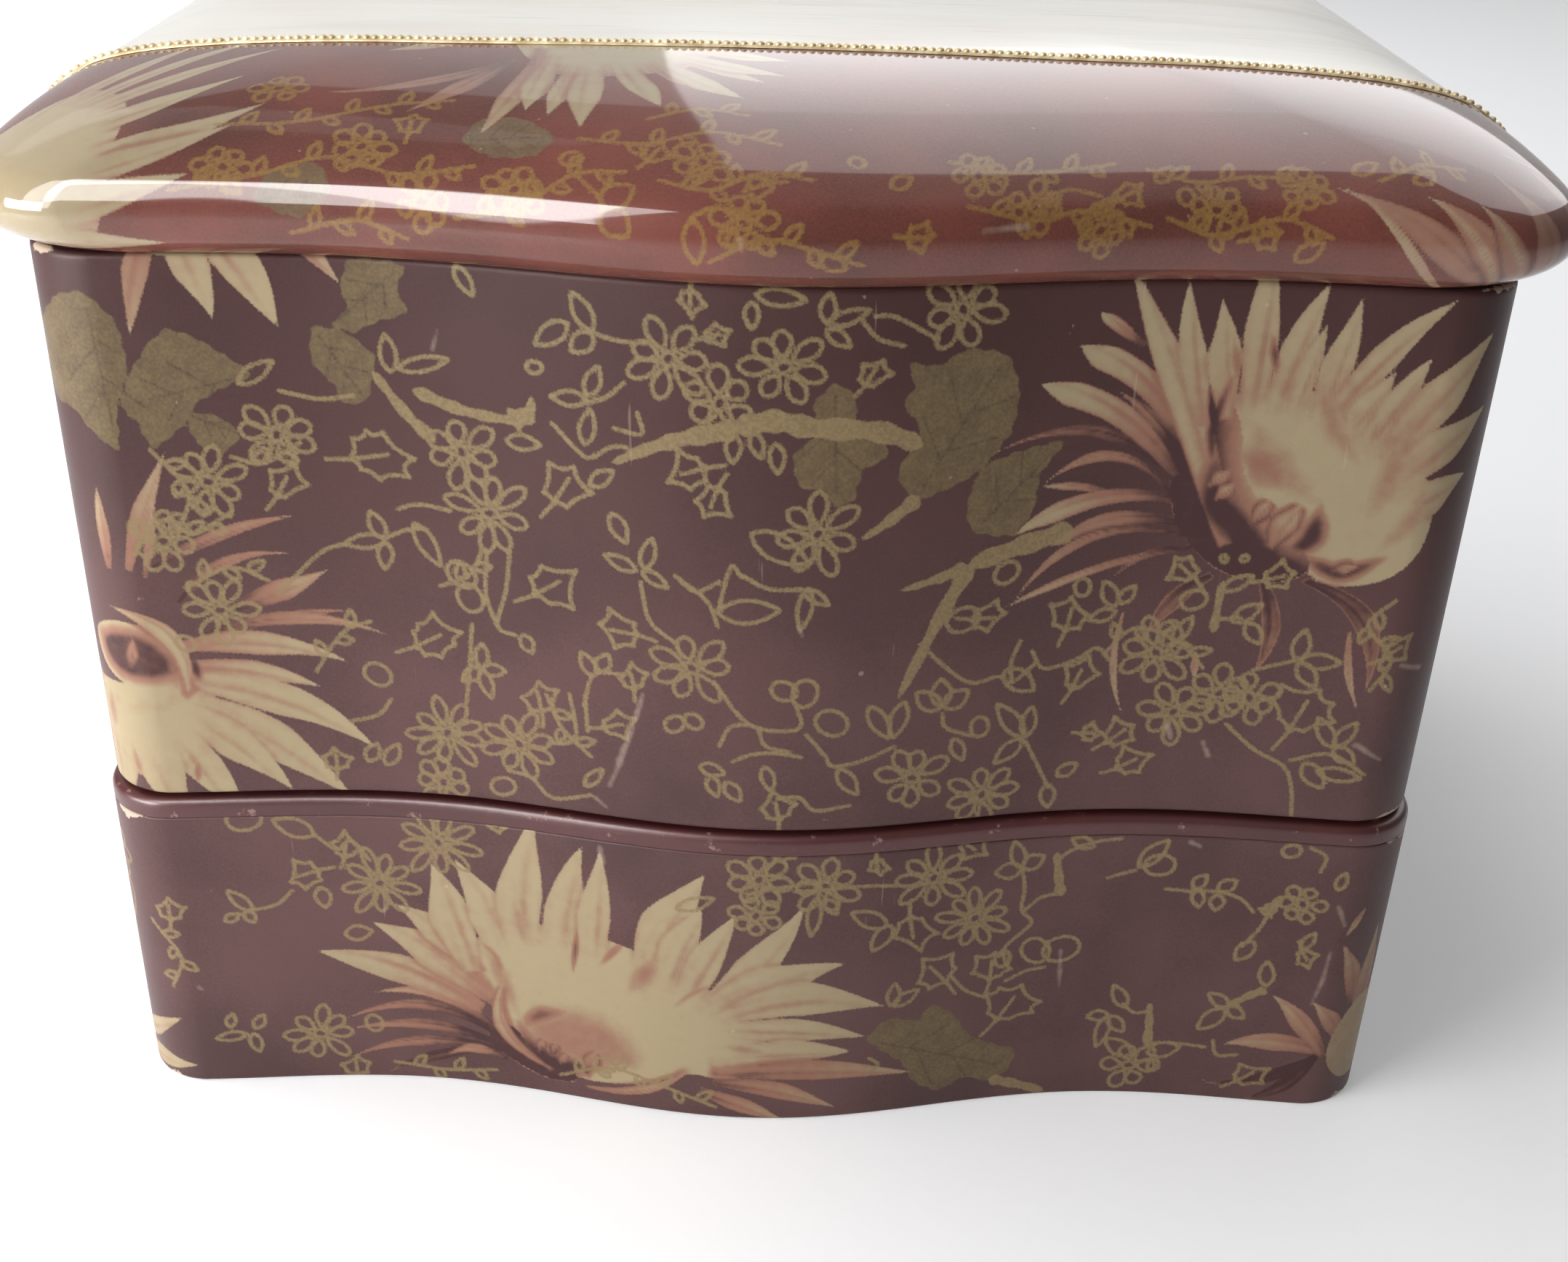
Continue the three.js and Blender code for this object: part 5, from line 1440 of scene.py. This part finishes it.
for part, first, last, spacing in cuts(lid_plan):
    cover = lid_cover(f"lid_{part}_cover", first, last, spacing)
    settle(cover, "lid", "varnished_print", lid_finish, "lid_print_cover")

# %% [markdown]
# ## The ivory panel and its beaded trim
# The panel is a thin sheet of celluloid that lies in the lid's crown. It is made as a sheet whose rows
# are rings: from the middle of its underside out to the edge, and back in to the middle on top. The
# heights come from the lid's own surface. A gilt strip with small beads covers the joint.

# %% Points on the lid
LID_REACH = 70 * MM  # further in than the panel's edge


def lid_height(x, y):
    """Height of the lid's surface: finds how far in a point lies, and reads the lid's line there."""
    def within(inset):
        radius, reach, front_turn, back_turn = lid_plan.turns(inset, SIDE_SHARE * inset)
        away = np.abs(x)
        ahead = y - lid_plan.front - inset + serpentine(np.clip(x / lid_plan.half, -1, 1))
        straight_in = (away <= reach + radius) & (ahead >= 0) & (y <= lid_plan.back - inset)
        over = np.maximum(np.maximum(front_turn - y, y - back_turn), 0)
        return straight_in & ((away <= reach) | (np.hypot(away - reach, over) <= radius))

    inset = halfway(np.zeros_like(x), np.full_like(x, LID_REACH), within)
    lip_angle = np.arccos(np.clip(1 - inset / LIP, -1, 1))
    along = np.where(inset < crown_start, LIP * (lip_angle - lip_turn), inset - crown_start)
    return lid_line(along)[2]


def on_lid(x, y, rise):
    """Points a rise above the lid, square to its surface, and the directions that they stand in."""
    step = 0.05 * MM
    lean_x = (lid_height(x + step, y) - lid_height(x - step, y)) / (2 * step)
    lean_y = (lid_height(x, y + step) - lid_height(x, y - step)) / (2 * step)
    square = np.stack([-lean_x, -lean_y, np.ones_like(x)]) / np.sqrt(1 + lean_x ** 2 + lean_y ** 2)
    return np.stack([x, y, lid_height(x, y)]) + rise * square, square


print("Top of the lid:", (lid_height(np.zeros(1), np.zeros(1)) / MM).round(1), "mm")

# %% Celluloid panel
PANEL_SPACING = 2 * MM
PANEL_RINGS = 46
PANEL_EDGE = [(1.0, 0.6), (1.0, 0.3), (0.9985, 0.08), (0.995, 0.0)]  # share of the way out, depth in mm


def drawn_in(plan, run, inset, share):
    """Points on a plan's line, drawn in towards its middle."""
    x, y = plan.at(run, inset)
    middle = (plan.front + plan.back) / 2
    return x * share, middle + (y - middle) * share


def panel_sheet():
    runs = full_round(panel_plan, PANEL_SPACING)
    top = [(0.995 * (1 - (step / PANEL_RINGS) ** 1.7), 0.0) for step in range(1, PANEL_RINGS + 1)]
    underside = [(0.0, 0.6), (0.5, 0.6)]
    rings = np.array(underside + PANEL_EDGE + top)
    sheet, column, row = flat_sheet("ivory_panel", len(runs) - 1, len(rings) - 1)
    x, y = drawn_in(panel_plan, runs[column], GAP / 2, rings[row, 0])
    lay(sheet, *on_lid(x, y, -rings[row, 1] * MM)[0])
    return close_up(sheet, 50)


ivory = Finish("ivory_celluloid", Roughness=0.24, Coat_Weight=0.5, Coat_Roughness=0.08)
ivory_streak = ivory.noise(26 * MM, 4, stretch=(0.35, 2.2, 1.0), roughness=0.6)
ivory_blush = ivory.noise(45 * MM, 2)
ivory_grain = ivory.noise(5 * MM, 3, stretch=(0.25, 3.0, 1.0))
ivory_colour = ivory.mix(ivory.ease(ivory_streak, 0.45, 0.75), paint(246, 242, 232), paint(234, 226, 212))
ivory_colour = ivory.mix(ivory.ease(ivory_blush, 0.55, 0.75) * 0.35, ivory_colour, paint(236, 210, 202))
ivory_colour = ivory.mix(ivory.ease(ivory_grain, 0.62, 0.72) * 0.25, ivory_colour, paint(186, 178, 168))
ivory.coat(Base_Color=ivory_colour, Normal=ivory.bump(ivory_streak, 0.1 * MM))
settle(panel_sheet(), "lid", "celluloid", ivory.material, "lid_panel")

# %% Beaded trim
BEAD = 0.52 * MM
BEAD_PITCH = 1.12 * MM
STRIP_HALF = 0.8 * MM
STRIP_RISE = 0.35 * MM
STRIP_LIFT = 0.06 * MM  # off the lid


def trim_strip():
    runs = full_round(panel_plan, BEAD_PITCH)
    turn = np.linspace(0, np.pi, 7)
    across = np.concatenate([-STRIP_HALF * np.cos(turn), [-STRIP_HALF]])
    rise = np.concatenate([STRIP_LIFT + STRIP_RISE * np.sin(turn), [STRIP_LIFT]])
    sheet, column, row = flat_sheet("gilt_trim", len(runs) - 1, len(across) - 1)
    x, y = panel_plan.at(runs[column], across[row])
    lay(sheet, *on_lid(x, y, rise[row])[0])
    return close_up(sheet, 60)


def bead():
    bpy.ops.object.select_all(action="DESELECT")
    bpy.ops.mesh.primitive_uv_sphere_add(segments=8, ring_count=6, radius=BEAD)
    ball = bpy.context.object
    edit_whole()
    bpy.ops.transform.resize(value=(1, 1, 0.8))
    bpy.ops.mesh.bisect(plane_co=(0, 0, -0.3 * BEAD), plane_no=(0, 0, -1), use_fill=True, clear_outer=True)
    bpy.ops.object.mode_set(mode="OBJECT")
    bpy.ops.object.shade_smooth()
    return ball


def beaded(strip):
    pattern = bead()
    count = round(2 * panel_plan.half_length / BEAD_PITCH)
    runs = np.arange(count) * 2 * panel_plan.half_length / count - panel_plan.half_length
    spots, square = on_lid(*panel_plan.at(runs), STRIP_RISE)
    copies = []
    for spot, upright in zip(spots.T, square.T):
        copy = bpy.data.objects.new("bead", pattern.data.copy())
        lean = Vector(upright).to_track_quat("Z", "Y").to_matrix().to_4x4()
        copy.data.transform(Matrix.Translation(spot) @ lean)
        bpy.context.collection.objects.link(copy)
        copies.append(copy)
    bpy.data.objects.remove(pattern)
    for copy in copies:
        copy.select_set(True)
    strip.select_set(True)
    bpy.context.view_layer.objects.active = strip
    bpy.ops.object.join()
    print("Beads:", count)
    return strip


gilt = Finish("gilt_trim_metal")
gilt_dirt = gilt.noise(2.5 * MM, 3)
gilt_cloud = gilt.noise(30 * MM, 2)
gilt_colour = gilt.mix(gilt.ease(gilt_dirt, 0.35, 0.7), paint(190, 166, 122), paint(234, 218, 182))
gilt.coat(Base_Color=gilt_colour, Metallic=0.1 + 0.25 * gilt_cloud, Roughness=0.36 + 0.25 * gilt_dirt)
settle(beaded(trim_strip()), "lid", "gilt", gilt.material, "lid_trim")

# %% [markdown]
# ## Sateen linings
# Inside, each tray is lined with sateen gathered into small upright folds. The folds are a wave along
# the line, drawn a little unevenly with height, inside the thickness that the lining's solid holds.

# %% Wrap the linings
FOLD_PITCH = 5.2 * MM
LINING_OUTER = 6.15 * MM
LINING_INNER = 7.25 * MM
FOLD_DEPTH = 0.75 * MM
LINING_SPACING = 0.8 * MM

sateen = Finish("gold_sateen", Sheen_Weight=0.4, Sheen_Roughness=0.4)
sateen_weave = sateen.noise(0.4 * MM, 2, stretch=(1.0, 1.0, 0.2))
sateen_cloud = sateen.noise(25 * MM, 3)
sateen_colour = sateen.mix(sateen_cloud, paint(176, 138, 74), paint(214, 180, 116))
sateen_colour = sateen.mix(sateen.ease(sateen_weave, 0.3, 0.7) * 0.25, sateen_colour, paint(150, 112, 58))
sateen.coat(
    Base_Color=sateen_colour,
    Roughness=0.36 + 0.2 * sateen_weave,
    Normal=sateen.bump(sateen_weave, 0.03 * MM),
)


def line_tray(tray, plan):
    low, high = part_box(f"{tray}_lining")
    runs = full_round(plan, LINING_SPACING)
    line = section([
        (LINING_OUTER, low.z, 0, 10 * MM),
        (LINING_OUTER, high.z, 0.4 * MM, 0.5 * MM),
        (LINING_INNER, high.z, 0.5 * MM, 3 * MM),
        (LINING_INNER, low.z, 0, 0.5 * MM),
        (LINING_OUTER, low.z, 0, 0.5 * MM),
    ])
    sheet, column, row = flat_sheet(f"{tray}_sateen_lining", len(runs) - 1, len(line) - 1)
    run = runs[column]
    inset = line[row, 0]
    height = line[row, 1]
    folds = round(2 * plan.half_length / FOLD_PITCH)
    phase = np.pi * folds * run / plan.half_length
    drift = 0.9 * np.sin(height / (11 * MM) + 7 * np.sin(np.pi * 5 * run / plan.half_length))
    fold = FOLD_DEPTH * (0.5 + 0.5 * np.cos(phase + drift))
    inset = np.where(inset > 0.9 * LINING_INNER, inset - fold, inset)
    x, y = plan.at(run, inset)
    lay(sheet, x, y, height)
    settle(close_up(sheet, 60), f"{tray}_tray", "sateen", sateen.material, f"{tray}_lining")


line_tray("lower", lower_plan)
line_tray("upper", upper_plan)

# %% [markdown]
# ## Padded floors and lid
# Each tray has a thin stuffed pad on its floor, and the lid one in its hollow. A pad starts as a slim
# cushion, is remeshed into even small faces, and a cloth simulation with a little pressure swells it, so
# that its edge puckers as a sewn one does. A cap on the movement keeps it in its place.

# %% Simulate the pads
PAD_SPACING = 3 * MM
PAD_VOXEL = 3 * MM
PAD_FRAMES = 20
PAD_CAP = 2.2 * MM
PAD_SIDE = 8.2 * MM
PAD_RINGS = [  # share of the way out, share of the way up
    (0.0, 0.1), (0.5, 0.1), (0.97, 0.1), (1.0, 0.3), (0.985, 0.52), (0.93, 0.68), (0.6, 0.75), (0.0, 0.75),
]


def pad_blank(name, plan, side, foot, top):
    """A slim closed cushion, a little smaller than the pad."""
    runs = full_round(plan, PAD_SPACING)
    thick = top - foot
    rings = np.array(PAD_RINGS)
    sheet, column, row = flat_sheet(name, len(runs) - 1, len(rings) - 1)
    x, y = drawn_in(plan, runs[column], side, rings[row, 0])
    lay(sheet, x, y, foot + thick * rings[row, 1])
    return close_up(sheet, 60)


def swell(piece):
    """Blows the pad up as cloth, with no point moving further than the cap."""
    cloth = piece.modifiers.new("cloth", "CLOTH")
    cloth.settings.quality = 5
    cloth.settings.mass = 0.2
    cloth.settings.tension_stiffness = 12
    cloth.settings.compression_stiffness = 12
    cloth.settings.bending_stiffness = 0.4
    cloth.settings.use_pressure = True
    cloth.settings.uniform_pressure_force = 4
    cloth.settings.effector_weights.gravity = 0
    cloth.point_cache.frame_start = 1
    cloth.point_cache.frame_end = PAD_FRAMES
    before = points_of(piece)
    for step in range(1, PAD_FRAMES + 1):
        bpy.context.scene.frame_set(step)
    bpy.ops.object.modifier_apply(modifier=cloth.name)
    bpy.context.scene.frame_set(1)
    moved = points_of(piece) - before
    far = np.linalg.norm(moved, axis=1, keepdims=True)
    moved *= np.minimum(1, PAD_CAP / np.maximum(far, 1e-9))
    piece.data.vertices.foreach_set("co", (before + moved).ravel())
    print(piece.name, "swelled by up to", round(float(min(far.max(), PAD_CAP)) / MM, 2), "mm")


def make_pad(name, node, plan, body, crown_up):
    low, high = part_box(node)
    pad = pad_blank(name, plan, PAD_SIDE, low.z, high.z)
    pad.data.remesh_voxel_size = PAD_VOXEL
    bpy.ops.object.voxel_remesh()
    swell(pad)
    spots = points_of(pad)
    if not crown_up:
        spots[:, 2] = low.z + high.z - spots[:, 2]
    share = (spots[:, 2] - spots[:, 2].min()) / np.ptp(spots[:, 2])
    spots[:, 2] = low.z + share * (high.z - low.z)
    pad.data.vertices.foreach_set("co", spots.ravel())
    if not crown_up:
        edit_whole()
        bpy.ops.mesh.flip_normals()
        bpy.ops.object.mode_set(mode="OBJECT")
    soft = pad.modifiers.new("soft", "SUBSURF")
    soft.levels = 1
    soft.render_levels = 1
    bpy.ops.object.modifier_apply(modifier=soft.name)
    bpy.ops.object.shade_smooth()
    settle(pad, body, "sateen", sateen.material, node)


make_pad("lower_sateen_pad", "lower_floor_pad", lower_plan, "lower_tray", True)
make_pad("upper_sateen_pad", "upper_floor_pad", upper_plan, "upper_tray", True)
make_pad("lid_sateen_pad", "lid_pad", upper_plan, "lid", False)

# %% [markdown]
# ## Hinges
# Four small brass hinges are tacked to the back. A leaf is a plate with rounded outer corners, whose
# straps curl into knuckles round a pin. The plate and the knuckles are joined with Boolean modifiers,
# as one stamped piece, and then every edge is softened a little.

# %% Leaves, pins and tacks
HINGE_WIDTH = 26 * MM
LEAF_HEIGHT = 10.5 * MM
LEAF = 0.9 * MM
BARREL = 1.8 * MM
BORE = 1.15 * MM
END_KNUCKLE = 8 * MM
PIN = 0.9 * MM
PIN_SOFT = 0.3 * MM
LEAF_ROUND = 2.2 * MM
TACK_HEAD = 1.4 * MM
TACK_SHANK = 3.5 * MM
SOFT_EDGE = 0.14 * MM
ROD_SIDES = 28


def block(x0, x1, y0, y1, z0, z1):
    bpy.ops.object.select_all(action="DESELECT")
    bpy.ops.mesh.primitive_cube_add(size=1)
    cube = bpy.context.object
    edit_whole()
    bpy.ops.transform.resize(value=(x1 - x0, y1 - y0, z1 - z0))
    bpy.ops.transform.translate(value=((x0 + x1) / 2, (y0 + y1) / 2, (z0 + z1) / 2))
    bpy.ops.object.mode_set(mode="OBJECT")
    return cube


def rod(radius, x0, x1):
    bpy.ops.object.select_all(action="DESELECT")
    bpy.ops.mesh.primitive_cylinder_add(vertices=ROD_SIDES, radius=radius, depth=x1 - x0)
    bar = bpy.context.object
    edit_whole()
    bpy.ops.transform.rotate(value=math.pi / 2, orient_axis="Y", center_override=(0, 0, 0))
    bpy.ops.transform.translate(value=((x0 + x1) / 2, 0, 0))
    bpy.ops.object.mode_set(mode="OBJECT")
    return bar


def pick(piece):
    bpy.ops.object.select_all(action="DESELECT")
    piece.select_set(True)
    bpy.context.view_layer.objects.active = piece


def combine(piece, other, operation):
    """Joins or cuts a piece with another, which is then gone."""
    pick(piece)
    join = piece.modifiers.new("combine", "BOOLEAN")
    join.operation = operation
    join.solver = "EXACT"
    join.object = other
    bpy.ops.object.modifier_apply(modifier=join.name)
    bpy.data.objects.remove(other)


def soften(piece, width=SOFT_EDGE):
    pick(piece)
    bevel = piece.modifiers.new("soft_edges", "BEVEL")
    bevel.width = width
    bevel.segments = 2
    bevel.limit_method = "ANGLE"
    bevel.angle_limit = math.radians(40)
    bpy.ops.object.modifier_apply(modifier=bevel.name)
    bpy.ops.object.shade_smooth_by_angle(angle=math.radians(35))
    return piece


def round_outer_corners(leaf, far):
    """Bevels the two short edges at the leaf's free end."""
    for edge in leaf.data.edges:
        ends = [leaf.data.vertices[index].co for index in edge.vertices]
        edge.select = all(abs(end.z - far) < 1e-6 for end in ends) and abs(ends[0].y - ends[1].y) > LEAF / 2
    bpy.ops.object.mode_set(mode="EDIT")
    bpy.ops.mesh.select_mode(type="EDGE")
    bpy.ops.mesh.bevel(offset=LEAF_ROUND, segments=5)
    bpy.ops.object.mode_set(mode="OBJECT")


def hinge_leaf(up, knuckles):
    half = HINGE_WIDTH / 2
    near = BARREL + GAP
    leaf = block(-half, half, -BARREL, LEAF - BARREL, *sorted((up * near, up * LEAF_HEIGHT)))
    round_outer_corners(leaf, up * LEAF_HEIGHT)
    for x0, x1 in knuckles:
        combine(leaf, block(x0, x1, -BARREL, LEAF - BARREL, *sorted((0, up * (near + LEAF)))), "UNION")
        combine(leaf, rod(BARREL, x0, x1), "UNION")
    combine(leaf, rod(BORE, -half - LEAF, half + LEAF), "DIFFERENCE")
    return soften(leaf)


def tack():
    """A domed head with its shank, standing along +Y."""
    bpy.ops.object.select_all(action="DESELECT")
    bpy.ops.mesh.primitive_uv_sphere_add(segments=16, ring_count=10, radius=TACK_HEAD)
    head = bpy.context.object
    edit_whole()
    bpy.ops.transform.rotate(value=math.pi / 2, orient_axis="X", center_override=(0, 0, 0))
    bpy.ops.mesh.bisect(plane_co=(0, 0, 0), plane_no=(0, -1, 0), use_fill=True, clear_outer=True)
    bpy.ops.object.mode_set(mode="OBJECT")
    bpy.ops.object.mode_set(mode="EDIT")
    bpy.ops.mesh.inset(thickness=0.6 * TACK_HEAD)
    bpy.ops.mesh.extrude_region_move(TRANSFORM_OT_translate={"value": (0, -TACK_SHANK, 0)})
    bpy.ops.object.mode_set(mode="OBJECT")
    bpy.ops.object.shade_smooth_by_angle(angle=math.radians(40))
    return head


print("A leaf is", LEAF_HEIGHT / MM, "mm high, its barrel", 2 * BARREL / MM, "mm thick")

# %% Set the hinges
brass = Finish("aged_brass", Metallic=1.0)
brass_cloud = brass.noise(3.5 * MM, 4, roughness=0.6)
brass_fine = brass.noise(0.7 * MM, 3)
brass_stain = brass.ease(brass_cloud, 0.5, 0.72)
brass_colour = brass.mix(brass_stain, paint(186, 152, 88), paint(104, 80, 48))
brass.coat(
    Base_Color=brass_colour,
    Roughness=0.3 + 0.3 * brass_stain + 0.1 * brass_fine,
    Normal=brass.bump(brass_fine, 0.02 * MM),
)


def copy_to(pattern, name, spot, body, node):
    copy = bpy.data.objects.new(name, pattern.data.copy())
    copy.data.transform(Matrix.Translation(spot))
    bpy.context.collection.objects.link(copy)
    settle(copy, body, "brass", brass.material, node)


half = HINGE_WIDTH / 2
end_knuckles = [(-half, END_KNUCKLE - half), (half - END_KNUCKLE, half)]
middle_knuckle = [(END_KNUCKLE - half + GAP, half - END_KNUCKLE - GAP)]
patterns = {
    "lower_leaf": hinge_leaf(-1, end_knuckles),
    "upper_leaf": hinge_leaf(1, middle_knuckle),
    "pin": soften(rod(PIN, -half, half), PIN_SOFT),
    "tack": tack(),
}
carriers = {"tray_hinge": ("lower_tray", "upper_tray"), "lid_hinge": ("upper_tray", "lid")}
for hinge, (below, above) in carriers.items():
    for side in ("left", "right"):
        station = f"{hinge}_{side}"
        pin_low, pin_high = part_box(f"{station}_pin")
        axis = (pin_low + pin_high) / 2
        copy_to(patterns["lower_leaf"], f"{station}_brass_lower_leaf", axis, below, f"{station}_lower_leaf")
        copy_to(patterns["upper_leaf"], f"{station}_brass_upper_leaf", axis, above, f"{station}_upper_leaf")
        copy_to(patterns["pin"], f"{station}_brass_pin", axis, below, f"{station}_pin")
        for level, body in (("lower", below), ("upper", above)):
            for letter in "ab":
                node = f"{station}_{level}_tack_{letter}"
                tack_low, tack_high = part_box(node)
                spot = (tack_low + tack_high) / 2
                spot.y = axis.y - BARREL + LEAF
                copy_to(patterns["tack"], f"{node}_head", spot, body, node)
for pattern in patterns.values():
    bpy.data.objects.remove(pattern)

# %% [markdown]
# ## Boards
# The boards under the paper keep their solids. They are pale strawboard, so they get flecks and fibres.

# %% Strawboard on the kept solids
straw = Finish("strawboard")
straw_fleck = straw.noise(1.2 * MM, 4, stretch=(1.0, 0.3, 1.0), roughness=0.7)
straw_cloud = straw.noise(18 * MM, 2)
straw_colour = straw.mix(straw_cloud, paint(150, 126, 92), paint(178, 154, 116))
straw_colour = straw.mix(straw.ease(straw_fleck, 0.55, 0.75) * 0.5, straw_colour, paint(108, 86, 58))
straw.coat(
    Base_Color=straw_colour,
    Roughness=0.78 + 0.15 * straw_fleck,
    Normal=straw.bump(straw_fleck, 0.06 * MM),
)

kept = [name for name, node in nodes.items() if not node.hide_render]
for name in kept:
    for material_slot in nodes[name].material_slots:
        material_slot.material = straw.material
print("Boards kept as solids:", len(kept))

# %% [markdown]
# ## Table, backdrop and light
# The box stands on a pale sweep of paper, which glows a little for the camera so that it looks white
# without more light on the box. Further back the glow grows, most on the left: painted light, brighter
# on the left as if lit from there. A low soft light at the front left and a wide one overhead do the
# lighting, at a plain level, so that a colour looks about as it was mixed. What the glossy lid mirrors
# is set apart, as photographers do with cards: a window at the left for the streak on the lip, stacked
# cards behind for the crown's sheen, and small ones at the left. Stacks of staggered cards fade softly.

# %% Paper sweep
SWEEP_SIZE = 6.0
SWEEP_BEND = 1.2
bpy.ops.object.select_all(action="DESELECT")
bpy.ops.mesh.primitive_plane_add(size=SWEEP_SIZE)
sweep = bpy.context.object
sweep.name = "paper_sweep"
for vertex in sweep.data.vertices:
    vertex.select = vertex.co.y > 0
for edge in sweep.data.edges:
    edge.select = all(sweep.data.vertices[index].co.y > 0 for index in edge.vertices)
for face in sweep.data.polygons:
    face.select = False
bpy.ops.object.mode_set(mode="EDIT")
bpy.ops.mesh.select_mode(type="EDGE")
bpy.ops.mesh.extrude_region_move(TRANSFORM_OT_translate={"value": (0, 0, SWEEP_SIZE / 2)})
bpy.ops.object.mode_set(mode="OBJECT")
for edge in sweep.data.edges:
    ends = [sweep.data.vertices[index].co for index in edge.vertices]
    edge.select = all(end.y > 0 and end.z < 0.01 for end in ends)
bpy.ops.object.mode_set(mode="EDIT")
bpy.ops.mesh.bevel(offset=SWEEP_BEND, segments=16)
bpy.ops.object.mode_set(mode="OBJECT")
bpy.ops.object.shade_smooth()

BLACK = (0.0, 0.0, 0.0, 1.0)
WHITE = (1.0, 1.0, 1.0, 1.0)
pale = Finish("pale_paper", Roughness=0.9, Emission_Strength=1.0)
pale_cloud = pale.noise(0.4, 2)
seen = pale.node("LightPath", output="Is Camera Ray")
for way in ("Is Glossy Ray", "Is Transmission Ray"):
    seen = seen + pale.node("LightPath", output=way)
sideways = pale.node("SeparateXYZ", None, {0: pale.place()}, "X")
backwards = pale.node("SeparateXYZ", None, {0: pale.place()}, "Y")
# Painted light: besides an even glow, the sweep glows more further back and most on the left, as if lit
# from the left.
FLOOR_GLOW = 0.2
WALL_GLOW = 0.1
LEFT_GLOW = 0.25
far = pale.ease(backwards, 0.05, 0.7)
leftwards = pale.ease(sideways, 0.5, -0.5)
glow = seen * (FLOOR_GLOW + far * (WALL_GLOW + LEFT_GLOW * leftwards))
pale.coat(
    Base_Color=pale.mix(pale_cloud, paint(238, 239, 242), paint(246, 246, 248)),
    Emission_Color=pale.mix(glow, BLACK, WHITE),
)
sweep.data.materials.append(pale.material)
print("Sweep faces:", len(sweep.data.polygons))

# %% Lamps


def lamp(name, place, target, size, power):
    bpy.ops.object.select_all(action="DESELECT")
    bpy.ops.object.light_add(type="AREA", location=place)
    light = bpy.context.object
    light.name = name
    light.rotation_euler = (Vector(target) - Vector(place)).to_track_quat("-Z", "Y").to_euler()
    light.data.shape = "RECTANGLE"
    light.data.size, light.data.size_y = size
    light.data.energy = power
    return light


BOX_MIDDLE = (0, 0, 0.08)
LEFT_POWER = 2.0  # watts
OVERHEAD_POWER = 9.2
lamp("left_softbox", (-0.38, -0.3, 0.15), BOX_MIDDLE, (0.26, 0.14), LEFT_POWER)
overhead = lamp("overhead_softbox", (-0.5, 0.1, 0.9), BOX_MIDDLE, (1.0, 1.0), OVERHEAD_POWER)
overhead.visible_glossy = False
print("Overhead light:", round(overhead.data.energy, 1), "watts")

# %% Cards for the gloss


def gloss_card(name, place, target, size, level):
    """A card that shows only in gloss. At level 1 a mirror would show it white."""
    card = lamp(name, place, target, size, math.pi * size[0] * size[1] * level)
    card.visible_diffuse = False
    card.visible_camera = False


LIP_LEFT = (-0.074, -0.082, 0.138)
LIP_CORNER = (-0.09, -0.08, 0.138)
WINDOW_LEVEL = 8.0
SHEEN_LEVEL = 2.0
SHEEN_LEFT = -0.09  # where the widest card starts
SHEEN_STEP = 0.045  # from each card's start to the next
SHEEN_WIDTHS = [1.3, 1.0, 0.62, 0.5, 0.4, 0.32, 0.25, 0.18]
HAZE_LEVEL = 0.4
HAZE_CARDS = 6
gloss_card("window", (-0.5, -0.58, 0.5), LIP_LEFT, (0.38, 0.86), WINDOW_LEVEL)
gloss_card("near_window", (-0.13, -0.2, 0.24), LIP_CORNER, (0.08, 0.14), 1.25 * WINDOW_LEVEL)
for step, width in enumerate(SHEEN_WIDTHS):
    across = SHEEN_STEP * step + SHEEN_LEFT + width / 2
    size = (width, 1.15 - 0.1 * step)
    gloss_card(f"sheen_{step}", (across, 0.676, 0.9), (across, 0.02, 0.216), size, SHEEN_LEVEL)
for step in range(HAZE_CARDS):
    reach = 0.1 + 0.08 * step
    gloss_card(f"left_haze_{step}", (-0.6, 0.42, 0.9), LIP_LEFT, (reach, 1.4 * reach), HAZE_LEVEL)

# %% The room
ROOM_LIGHT = 0.18
ROOM_WHITE = 0.85  # past the sweep's edge, for the camera alone
world = bpy.data.worlds.new("soft_room")
bpy.context.scene.world = world
world.use_nodes = True
room = world.node_tree
seen_directly = room.nodes.new("ShaderNodeLightPath").outputs["Is Camera Ray"]
room_tone = room.nodes.new("ShaderNodeMapRange")
room_tone.inputs["To Min"].default_value = ROOM_LIGHT
room_tone.inputs["To Max"].default_value = ROOM_WHITE
room.links.new(seen_directly, room_tone.inputs["Value"])
room.links.new(room_tone.outputs["Result"], room.nodes["Background"].inputs["Color"])
bpy.context.scene.view_settings.view_transform = "Standard"
print("Room light:", ROOM_LIGHT, "view:", bpy.context.scene.view_settings.view_transform)
